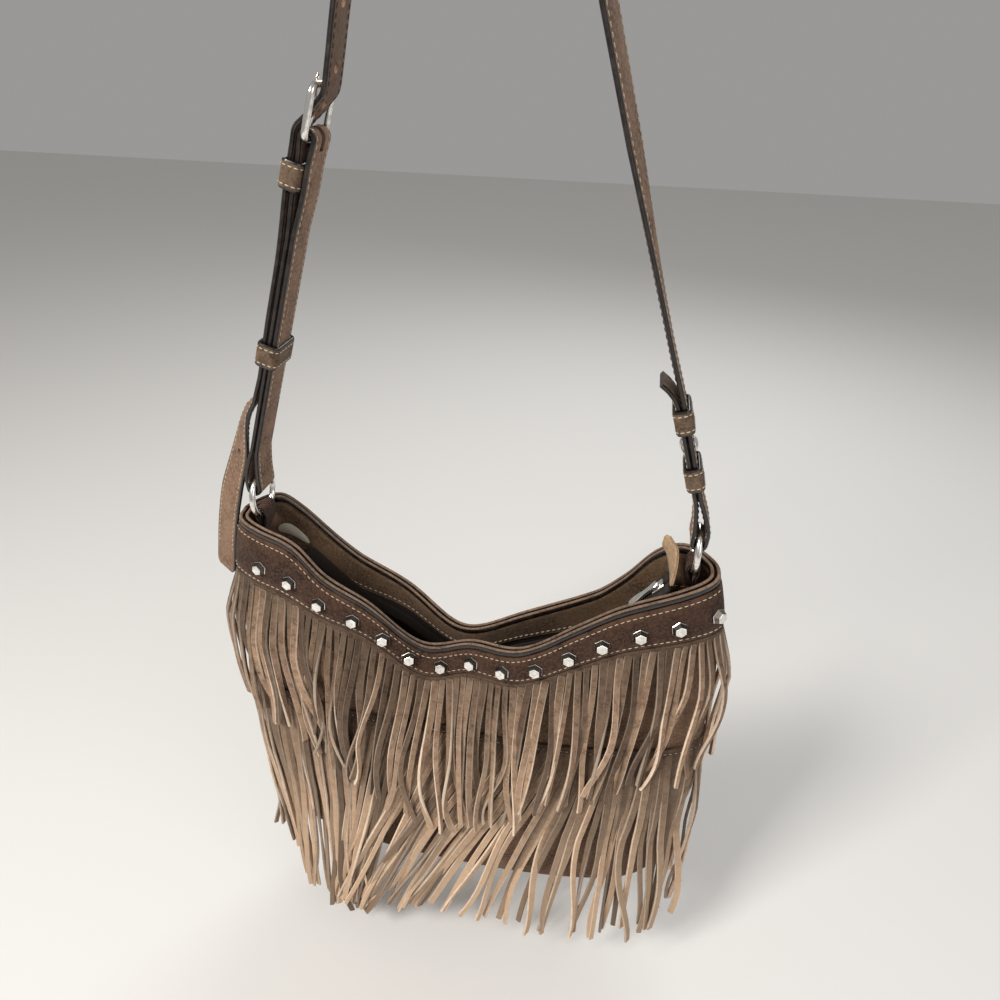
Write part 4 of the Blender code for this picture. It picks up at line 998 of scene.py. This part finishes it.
# %% Strap path
STRAP_WIDTH, STRAP_THICK, PLY_GAP, CLEARANCE = 19.0, 2.4, 0.5, 0.45
STRAP_FLAT, STRAP_BEND, LEAN = 12.0, 20.0, math.radians(17.6)
RING_RADIUS, RING_WIRE, LOOP_TALL, LOOP_JOIN = 13.0, 1.9, 20.0, 15.0
BUCKLE_HEIGHT, FRAME_TALL, FRAME_WIRE = 201.0, 23.0, 1.75
RETURN_HEIGHT = 96.0
SEWN_HEIGHT, LEFT_HEIGHT = 184.0, 94.0
KEEPERS = {"keeper_sewn": (-1, SEWN_HEIGHT), "keeper_left": (-1, LEFT_HEIGHT),
           "keeper_right_upper": (1, 80.0), "keeper_right_lower": (1, 48.0)}
KEEPER_THICK, KEEPER_TALL, KEEPER_SLACK = 1.6, 13.0, 0.6
ACROSS = Vector((0.0, 1.0, 0.0))
BEND_X = STRAP_FLAT / 2 + STRAP_BEND * math.cos(LEAN)
BEND_Z = LOOP_TALL + (RING_X - BEND_X) / math.tan(LEAN)
LOOP_INSIDE = math.sqrt(RING_RADIUS**2 - (STRAP_WIDTH / 2) ** 2) - RING_WIRE - 3 * CLEARANCE
LOOP_HALF = RING_WIRE + CLEARANCE + STRAP_THICK / 2
PLY_HALF = (PLY_GAP + STRAP_THICK) / 2


def run_frame(side):
    """Place (n, s) pairs on a strap run: s up the run, n outwards."""
    up = Vector((-side * math.sin(LEAN), 0.0, math.cos(LEAN)))
    out = Vector((side * math.cos(LEAN), 0.0, math.sin(LEAN)))
    foot = Vector((side * RING_X, 0.0, LOOP_TALL))
    return lambda p: foot + out * p[0] + up * p[1]


def s_at(height):
    return (height - LOOP_TALL) / math.cos(LEAN)


def arc(n, s, radius, start, end, steps):
    turns = [math.radians(start + (end - start) * i / steps) for i in range(steps + 1)]
    return [(n + radius * math.cos(t), s + radius * math.sin(t)) for t in turns]


def rounded_box(low, high, radius, steps):
    """A rectangle from corner low to corner high with round corners, as (a, b) pairs."""
    a0, b0, a1, b1 = low[0] + radius, low[1] + radius, high[0] - radius, high[1] - radius
    corners = ((a1, b1), (a0, b1), (a0, b0), (a1, b0))
    return [p for k, (a, b) in enumerate(corners) for p in arc(a, b, radius, 90 * k, 90 * k + 90, steps)]

# %% Where the plies run
BAR_S = s_at(BUCKLE_HEIGHT)
TOP_BAR_S = BAR_S + FRAME_TALL
BAR_LOOP = FRAME_WIRE + CLEARANCE + STRAP_THICK / 2
KEEPER_PLY_HALF = KEEPER_THICK / 2 + KEEPER_SLACK + STRAP_THICK / 2
TAIL_N = BAR_LOOP + STRAP_THICK + PLY_GAP
PLIES_TAIL_N = PLY_HALF + STRAP_THICK + PLY_GAP + 0.2
right, left = run_frame(1), run_frame(-1)


def ring_loop(side):
    """The strap's fold through a ring, from the inner ply to the outer."""
    run = run_frame(side)
    middle = LOOP_INSIDE - STRAP_THICK / 2 + LOOP_HALF
    rise = LOOP_TALL - 4.0
    fold = [(-LOOP_HALF, rise)] + arc(0.0, middle, LOOP_HALF, 180, 360, 6) + [(LOOP_HALF, rise)]
    inner = [run((-PLY_HALF, LOOP_JOIN)), run((-PLY_HALF - 0.5, LOOP_JOIN - 5.0))]
    outer = [run((PLY_HALF + 0.5, LOOP_JOIN - 5.0)), run((PLY_HALF, LOOP_JOIN))]
    return inner + [Vector((side * (RING_X + n), 0.0, s)) for n, s in fold] + outer

# %% Strap stations
TAIL = ((-133, 1, 53), (-142, 2, 27), (-154, 3, -3), (-162.5, 4, -32), (-167.9, 4, -58), (-169.5, 4, -66))
TAIL_TURNS = (0.0, 30.0, 52.0, 62.0, 62.0, 62.0, 62.0)
TAIL_TIP = (0.74, 0.93, 0.99)
TWIST_FROM, TWIST_RISE, TWIST_MOST = 120.0, 230.0, -17.0
CURLED_END = ((-6.0, 5), (-3.2, 1), (-1.0, -4), (0.0, -10))


def long_path():
    """The flat part's points, from the returning ply's curled end to the left keeper, and the tail's."""
    back_s = s_at(RETURN_HEIGHT)
    spots = [right((n - PLY_HALF, back_s + s)) for n, s in CURLED_END]
    spots += ring_loop(1)
    spots += [right(p) for p in ((PLY_HALF, back_s - 10), (PLY_HALF - 1.0, back_s + 20), (0.0, back_s + 60))]
    centre = Vector((STRAP_FLAT / 2, 0, BEND_Z - STRAP_BEND * math.sin(LEAN)))
    turn = math.pi / 2 - LEAN
    turns = [turn * (1 - i / 6) for i in range(7)]
    over = [centre + STRAP_BEND * Vector((math.sin(turn), 0, math.cos(turn))) for turn in turns]
    spots += over + [Vector((-p.x, 0, p.z)) for p in reversed(over)]
    behind = -FRAME_WIRE - CLEARANCE - STRAP_THICK / 2
    spots += [left(p) for p in (
        (-1.0, TOP_BAR_S + 40), (behind, TOP_BAR_S + 6), (behind - 0.2, TOP_BAR_S - 2), (-1.6, TOP_BAR_S - 6.5),
        (2.6, BAR_S + 9.0), (TAIL_N, BAR_S + 3.0), (TAIL_N + 0.2, BAR_S - 4), (TAIL_N, BAR_S - 24),
        (PLIES_TAIL_N + 0.6, BAR_S - 44), (PLIES_TAIL_N, BAR_S - 60), (PLIES_TAIL_N, s_at(LEFT_HEIGHT) + 20),
        (PLIES_TAIL_N, s_at(LEFT_HEIGHT) - 26))]
    return spots, [Vector(p) for p in TAIL]


def strap_stations(line, turns=None, closed=False):
    """Stations whose width lies along Y, turned about the strap by turns degrees where it is given."""
    made = []
    for i, here in enumerate(line):
        along = heading(line, i, closed)
        turned = math.radians(turns[i]) if turns else 0.0
        across = Vector((-math.sin(turned), math.cos(turned), 0.0))
        across = (across - along * across.dot(along)).normalized()
        made.append((here, across, across.cross(along).normalized(), 1.0, 1.0))
    return made

# %% The long strap
PER = 4
flat_part, tail_part = long_path()
long_line = bend(flat_part + tail_part, PER)
turned, flat_steps = [], (len(flat_part) - 1) * PER
for i, here in enumerate(long_line):
    if i <= flat_steps:
        swing = min(max((here.z - TWIST_FROM) / TWIST_RISE, 0.0), 1.0) if here.x > 0 else 0.0
        turned.append(TWIST_MOST * math.sin(math.pi * swing) ** 2)
    else:
        knot, part = divmod(i - flat_steps, PER)
        first, second = TAIL_TURNS[knot], TAIL_TURNS[min(knot + 1, len(TAIL_TURNS) - 1)]
        turned.append(first + (second - first) * part / PER)
long_stations = strap_stations(long_line, turned)
for back, share in enumerate(TAIL_TIP, 1):
    long_stations[-back] = long_stations[-back][:3] + (share, 1.0)
section = strip_section(STRAP_WIDTH, STRAP_THICK, 0.9)
strap_long = solid("strap_long", *sweep_mesh(long_stations, section), [strap_suede, strap_inside, edge_paint],
                   "strap", ("strap_main",), "strap_leather", slots=strip_slots(len(long_stations) - 1, 2))
print("long strap stations:", len(long_stations))

# %% The short strap
sewn_s = s_at(SEWN_HEIGHT)
rise = [(PLY_HALF, BAR_S - 60), (PLY_HALF, BAR_S - 44), (KEEPER_PLY_HALF, sewn_s - 8),
        (KEEPER_PLY_HALF, sewn_s + 7)]
short_path = ring_loop(-1) + [left(p) for p in rise + arc(0.0, BAR_S, BAR_LOOP, 0, 180, 6)
                              + [(-n, s) for n, s in reversed(rise)]]
short_stations = strap_stations(bend(short_path, PER, closed=True), closed=True)
strap_double = solid("strap_double", *sweep_mesh(short_stations, section, closed=True),
                     [strap_inside, strap_suede, edge_paint], "strap", ("strap_short",), "strap_leather",
                     slots=strip_slots(len(short_stations), 0))


# %% Holes and slots in the straps
def cut(target, name, stations, section):
    """Take a swept shape out of target, apply the cut and delete the cutter."""
    tool = closed_object(name, *sweep_mesh(stations, section))
    change = target.modifiers.new(name, "BOOLEAN")
    change.operation, change.solver, change.object = "DIFFERENCE", "EXACT", tool
    evaluated = target.evaluated_get(bpy.context.evaluated_depsgraph_get())
    mesh = bpy.data.meshes.new_from_object(evaluated)
    target.modifiers.clear()
    target.data = mesh
    bpy.data.objects.remove(tool, do_unlink=True)


def cut_hole(name, start, end, radius):
    one = (end - start).normalized().orthogonal().normalized()
    other = (end - start).normalized().cross(one)
    cut(strap_long, name, [(spot, one, other, radius, radius) for spot in (start, end)], circle(14))


def cut_slot(target, name, low, high, share, depth):
    stations = [(left((0.0, s)), ACROSS, out_of_run, share, depth) for s in (low, high)]
    cut(target, name, stations, mirrored(((-2.3, -1.0), (2.3, -1.0))))

# %% Where the holes and slots lie
PRONG_S = BAR_S + FRAME_TALL * 0.55
HOLE_RADIUS, HOLE_PITCH, FIRST_HOLE, FIRST_TAIL_HOLE = 2.2, 25.0, 18.0, 64.0
TAIL_HOLE_HEIGHT, TAIL_HOLE_RADIUS = 24.0, 1.9
out_of_run = (left((1, 0)) - left((0, 0))).normalized()
holes = [(PRONG_S + FIRST_HOLE + HOLE_PITCH * k, -12, 12) for k in range(3)]
holes += [(BAR_S - FIRST_TAIL_HOLE - HOLE_PITCH * k, PLY_HALF + STRAP_THICK / 2 + 0.2, PLIES_TAIL_N + 6)
          for k in range(2)]
for number, (s, near, far) in enumerate(holes):
    cut_hole(f"hole_{number}", left((near, s)), left((far, s)), HOLE_RADIUS)
here, _, face = min(long_stations[flat_steps:], key=lambda station: abs(station[0].z - TAIL_HOLE_HEIGHT))[:3]
cut_hole("tail_end_hole", here - face * 5.0, here + face * 5.0, TAIL_HOLE_RADIUS)
cut_slot(strap_long, "prong_slot", PRONG_S - 7.6, PRONG_S + 3.5, 1.0, 8.0)
cut_slot(strap_double, "fold_slot", BAR_S - 5.0, BAR_S + 9.0, 0.93, 6.5)
print("long strap faces:", len(strap_long.data.polygons))

# %% Strap stitches
ROW_INSET, THREAD_LIFT = 2.4, 0.05


def edge_rows(stations, sign, half, lift, *sizes):
    """Two rows of stitches, half either side of the middle, on the face that sign picks."""
    ups = [face * sign for _, _, face, _, _ in stations]
    lines = [[c + a * (edge * half * w) + f * (sign * lift) for c, a, f, w, _ in stations] for edge in (-1, 1)]
    return [stitch_mesh(line, ups, *sizes) for line in lines]


row_place = (STRAP_WIDTH / 2 - ROW_INSET, STRAP_THICK / 2 + THREAD_LIFT)
for name, material, sign in (("strap_stitches", thread, 1), ("strap_back_stitches", dark_thread, -1)):
    rows = edge_rows(long_stations[2:-5], sign, *row_place) + edge_rows(short_stations, -sign, *row_place)
    solid(name, *join(rows), [material], "strap", smooth=80.0)

# %% Cross stitches at the fold
FOLD_ROWS = (BAR_S - 10.0, BAR_S - 31.0)
fold_line = [station for station in long_stations if station[0].x < 0 and station[0].z > 60.0]
rows = []
for wanted in FOLD_ROWS:
    near = min(fold_line, key=lambda station: (station[0] - left((TAIL_N, wanted))).length)
    here, across, face = near[:3]
    line = [here + across * (row_place[0] * share) + face * row_place[1] for share in (-1.0, 0.0, 1.0)]
    rows.append(stitch_mesh(line, [face] * 3))
solid("fold_stitches", *join(rows), [thread], "strap", smooth=80.0)
print("rows of stitches across the fold:", len(rows))

# %% [markdown]
# ## Keepers
# Four bands hold the plies and the tail together.  Each is a rounded loop of
# the same leather, with two short rows of stitches round it.

# %% Keepers
BOTH = PLY_HALF + STRAP_THICK / 2
KEEPER_SPAN = {"keeper_sewn": (KEEPER_PLY_HALF - STRAP_THICK / 2, TAIL_N + STRAP_THICK / 2 + 0.3),
               "keeper_left": (-BOTH, PLIES_TAIL_N + STRAP_THICK / 2),
               "keeper_right_upper": (-BOTH, BOTH), "keeper_right_lower": (-BOTH, BOTH)}
KEEPER_BODY = {"keeper_sewn": "strap", "keeper_left": "left_band", "keeper_right_upper": "right_upper_band",
               "keeper_right_lower": "right_lower_band"}
KEEPER_ROUND, KEEPER_ROW_INSET, KEEPER_STITCH = 2.6, 2.2, (2.2, 0.9, 0.34)


def keeper_stations(node, side, height):
    """Once round the plies of a run, with the band's width up the strap."""
    run, reach = run_frame(side), KEEPER_SLACK + KEEPER_THICK / 2
    low_n, high_n, half = KEEPER_SPAN[node][0] - reach, KEEPER_SPAN[node][1] + reach, STRAP_WIDTH / 2 + reach
    loop = rounded_box((low_n, -half), (high_n, half), min((high_n - low_n) / 2 - 0.2, KEEPER_ROUND), 6)
    up, out = ((run(p) - run((0, 0))).normalized() for p in ((0, 1), (1, 0)))
    centre = run((0, s_at(height)))
    spots = [centre + out * n + ACROSS * y for n, y in loop]
    stations = []
    for i, here in enumerate(spots):
        face = up.cross(heading(spots, i, closed=True)).normalized()
        stations.append((here, up, face if face.dot(here - centre) > 0 else -face, 1.0, 1.0))
    return stations


for node, (side, height) in KEEPERS.items():
    stations = keeper_stations(node, side, height)
    band_mesh = sweep_mesh(stations, strip_section(KEEPER_TALL, KEEPER_THICK, 0.7), closed=True)
    solid(node + "_band", *band_mesh, [keeper_suede, strap_inside, edge_paint], KEEPER_BODY[node], (node,),
          "strap_leather", slots=strip_slots(len(stations), 0))
    rows = edge_rows(stations + stations[:1], 1, KEEPER_TALL / 2 - KEEPER_ROW_INSET, KEEPER_THICK / 2 + THREAD_LIFT,
                     *KEEPER_STITCH)
    solid(node + "_stitches", *join(rows), [thread], KEEPER_BODY[node], smooth=80.0)
print("keepers:", len(KEEPERS))

# %% [markdown]
# ## Nickel hardware
# Rings, buckle frame, prong and rivet are round wire and turned metal, so they
# are swept again with a circle, at a finer step than their solids.

# %% Rings
WIRE, RING_STEPS, ENDS = circle(16), 56, ((-1, "left"), (1, "right"))
for side, end in ENDS:
    stations = []
    for y, z in circle(RING_STEPS):
        out = Vector((0, y, z))
        middle = Vector((side * RING_X, 0, 0)) + out * RING_RADIUS
        stations.append((middle, out, Vector((1, 0, 0)), RING_WIRE, RING_WIRE))
    solid("wire_ring_" + end, *sweep_mesh(stations, WIRE, closed=True), [nickel], end + "_ring",
          ("ring_" + end,), "nickel")

# %% Buckle
FRAME_CORNER = 4.0
half = STRAP_WIDTH / 2 + 1.2 + FRAME_WIRE
spots = [left((0, s)) + ACROSS * y for y, s in rounded_box((-half, BAR_S), (half, TOP_BAR_S), FRAME_CORNER, 8)]
stations = [(here, out_of_run.cross(heading(spots, i, closed=True)).normalized(), out_of_run, FRAME_WIRE,
             FRAME_WIRE) for i, here in enumerate(spots)]
solid("buckle_wire", *sweep_mesh(stations, WIRE, closed=True), [nickel], "strap", ("buckle_frame",), "nickel")

# %% Prong
PRONG_WIDE, PRONG_THICK, PRONG_TIP = 1.5, 0.8, (0.96, 0.8, 0.45)
PRONG_PATH = arc(0.0, BAR_S, FRAME_WIRE + 1.05, -200, 10, 10) + [
    (3.0, BAR_S + 4.0), (2.9, BAR_S + 10.0), (3.1, TOP_BAR_S - 5.0), (3.3, TOP_BAR_S), (3.15, TOP_BAR_S + 3.2)]
line = bend([left(p) for p in PRONG_PATH], 3)
tapers = [1.0] * (len(line) - 3) + list(PRONG_TIP)
stations = [(here, ACROSS, ACROSS.cross(heading(line, i)).normalized(), PRONG_WIDE * taper, PRONG_THICK * taper)
            for i, (here, taper) in enumerate(zip(line, tapers))]
solid("buckle_pin", *sweep_mesh(stations, WIRE), [nickel], "strap", ("buckle_prong",), "nickel")

# %% Rivet
RIVET_PROFILE = ((0.4, -1.75), (2.2, -1.55), (3.6, -0.9), (4.2, -0.1), (4.15, 0.15), (1.6, 0.2))
RIVET_HEIGHT, RIVET_SIDES = 64.0, 28
seat = PLY_HALF + STRAP_THICK / 2 + CLEARANCE
rivet_spot = right((0, s_at(RIVET_HEIGHT)))
rivet_out, rivet_up = ((right(p) - right((0, 0))).normalized() for p in ((1, 0), (0, 1)))
profile = [(r, h - seat) for r, h in RIVET_PROFILE] + [(r, seat - h) for r, h in reversed(RIVET_PROFILE)]
stations = [(rivet_spot + rivet_out * h, rivet_up, ACROSS, r, r) for r, h in profile]
solid("rivet_dome", *sweep_mesh(stations, circle(RIVET_SIDES)), [nickel], "strap", ("strap_rivet",), "nickel",
      smooth=40.0)
print("buckle bar at", round(BUCKLE_HEIGHT), "mm above the rings")

# %% [markdown]
# ## Ring tabs
# A suede tab folds round each ring's lower wire and is sewn inside the end of
# the bag.  It is a sweep of one thick strip with an open fold at its top.

# %% Ring tabs
TAB_WIDE, TAB_PLY, TAB_FOOT = 14.0, 1.5, -60.0


def tab_wall(z):
    """Where the tab's ply lies against the facing at a height, counted from the ring."""
    theta = math.acos(-(half_width(z) - 1.6) / half_width(z))
    return surface(theta, 1, z, FACING_FACE).x - RING_X - 2.2


fold_half = RING_WIRE + CLEARANCE + TAB_PLY / 2
fold_top = -(math.sqrt(RING_RADIUS**2 - (TAB_WIDE / 2) ** 2) - RING_WIRE - CLEARANCE)
low_wire = -RING_RADIUS - RING_WIRE - CLEARANCE
foot_n, bend_n = tab_wall(TAB_FOOT) - TAB_PLY / 2, tab_wall(-40.0) - TAB_PLY / 2
tab_path = [(foot_n - TAB_PLY - 0.2, TAB_FOOT), (bend_n - TAB_PLY - 0.2, -42.0), (-0.6, low_wire - 6),
            (-fold_half, low_wire + 1.0)]
tab_path += arc(0.0, fold_top - RING_WIRE - CLEARANCE, fold_half, 180, 0, 8)
tab_path += [(fold_half, low_wire + 1.0), (1.4, low_wire - 5), (bend_n, -40.0), (foot_n, TAB_FOOT)]
for side, end in ENDS:
    line = bend([Vector((side * (RING_X + n), 0.0, s)) for n, s in tab_path], 3)
    stations = []
    for c, a, f, _, _ in strap_stations(line):
        low = max(TAB_FOOT + 7 - c.z, 0.0) / 8.0
        stations.append((c, a, f, 0.45 + 0.55 * math.sqrt(max(1 - low**2, 0.0)), 1.0))
    solid("ring_tab_" + end, *sweep_mesh(stations, strip_section(TAB_WIDE, TAB_PLY, 0.8)),
          [collar_suede, collar_suede, edge_paint], "bag", ("tab_" + end,), "dark_suede",
          slots=strip_slots(len(stations) - 1, 2))
print("tab tops", round(fold_top, 1), "mm from the ring line")

# %% [markdown]
# ## Zip
# The mouth closes with a zip, which is open: its two tapes run round inside
# the mouth, the slider waits at the right end, and a pointed tan tab covers
# the tape's end.

# %% Zip tapes
ZIP_TOP, ZIP_FOOT = Vector((120.0, -2.0, -24.0)), Vector((77.0, -4.0, -78.0))
ZIP_HALF_GAP, TAPE_WIDE, TAPE_THICK, TAPE_DROP, TAPE_SEAT = 1.4, 8.0, 1.0, 29.0, 2.4
TAPE_START, TAPE_END, TAPE_STEPS = ZIP_FOOT.x - 20.0, -116.0, 40
zip_down = (ZIP_FOOT - ZIP_TOP).normalized()
zip_face = ACROSS.cross(zip_down).normalized()


def tape_spot(side, x):
    z = rim(side, x) - TAPE_DROP - TAPE_WIDE / 2
    return surface(math.acos(-x / half_width(z)), side, z, FACING_FACE - TAPE_SEAT)


for side, end in SIDES:
    shift = ACROSS * side * (ZIP_HALF_GAP + TAPE_WIDE / 2)
    stations = [(ZIP_TOP.lerp(ZIP_FOOT, k / 6) + shift, ACROSS * side, zip_face * side, 1.0, 1.0) for k in range(7)]
    for i in range(TAPE_STEPS + 1):
        x = TAPE_START + (TAPE_END - TAPE_START) * i / TAPE_STEPS
        here = tape_spot(side, x)
        along = (tape_spot(side, x - 1.0) - here).normalized()
        upright = (Vector((0, 0, 1)) - along * along.z).normalized()
        stations.append((here, upright, upright.cross(along).normalized(), 1.0, 1.0))
    section = mirrored(((-TAPE_WIDE / 2, TAPE_THICK / 2), (TAPE_WIDE / 2, TAPE_THICK / 2)))
    solid("zip_cloth_" + end, *sweep_mesh(stations, section), [lining_cloth], "bag", ("zip_tape_" + end,),
          "lining_cloth")

# %% Zip teeth
TOOTH_STEP, TOOTH_FIRST, TOOTH_IN = 1.7, 14.0, 2.0
TOOTH_PROFILE = ((-0.55, 0.8), (-0.3, 1.0), (0.3, 1.0), (0.55, 0.8))
tooth_section = mirrored(((-1.0, -0.75), (1.0, -0.75)))
teeth = []
for side, stagger in ((-1, 0.0), (1, 0.5)):
    for number in range(int(((ZIP_FOOT - ZIP_TOP).length - TOOTH_FIRST - 2.0) / TOOTH_STEP)):
        middle = ZIP_TOP + zip_down * (TOOTH_FIRST + TOOTH_STEP * (number + stagger)) + ACROSS * side * TOOTH_IN
        stations = [(middle + zip_down * d, ACROSS, zip_face, w, w) for d, w in TOOTH_PROFILE]
        teeth.append(sweep_mesh(stations, tooth_section))
solid("zip_teeth", *join(teeth), [dull_nickel_and_shade], "bag", slot="nickel", smooth=30.0)
print("zip teeth:", len(teeth))

# %% Zip slider and pull
SLIDER_RUN = ((-4.5, 0.8), (-3.4, 0.95), (0.0, 1.0), (3.4, 0.9), (4.5, 0.72))
PULL_RUN = ((-1.0, 0.7), (0.5, 1.0), (5.0, 0.62), (10.0, 0.62), (14.0, 1.0), (19.0, 1.0), (21.0, 0.55))
centre = ZIP_TOP + zip_down * 8.0
slot_half = TAPE_THICK / 2 + CLEARANCE
plate = slot_half + 1.2
post = ZIP_HALF_GAP - CLEARANCE - 0.2
slider_section = mirrored(((-3.6, plate), (3.6, plate), (4.0, plate - 0.4), (4.0, slot_half), (post, slot_half),
                           (post, -slot_half), (4.0, -slot_half), (4.0, 0.4 - plate)))
pull_section = mirrored(((-3.0, 0.35), (-2.6, 0.7), (2.6, 0.7), (3.0, 0.35)))
for name, body, node, start, run, section in (
        ("zip_runner", "slider", "zip_slider", centre, SLIDER_RUN, slider_section),
        ("zip_puller", "pull", "zip_pull", centre + zip_face * (plate + 1.4), PULL_RUN, pull_section)):
    stations = [(start + zip_down * d, ACROSS, zip_face, w, 1.0) for d, w in run]
    solid(name, *sweep_mesh(stations, section), [nickel], body, (node,), "nickel", smooth=30.0)

# %% Zip end tab
END_TIP, END_TURN, END_STRAIGHT = Vector((114.5, -3.0, 7.0)), 50.0, 10
base = ZIP_TOP - zip_down * 1.5
path = bend([base, base.lerp(END_TIP, 0.5) + Vector((1.5, 0, 0)), base.lerp(END_TIP, 0.8) + Vector((0.8, 0, 0)),
             END_TIP], 5)
turns = [END_TURN * min(i / END_STRAIGHT, 1.0) for i in range(len(path))]
stations = [(c, a, f, 1.0 if i < END_STRAIGHT else 1.0 - 0.7 * (i - 9) / 6, 1.0)
            for i, (c, a, f, _, _) in enumerate(strap_stations(path, turns))]
solid("zip_end_leather", *sweep_mesh(stations, strip_section(12.0, 2.4, 0.8)), [tan_leather], "bag",
      ("zip_end_tab",), "tan_leather")
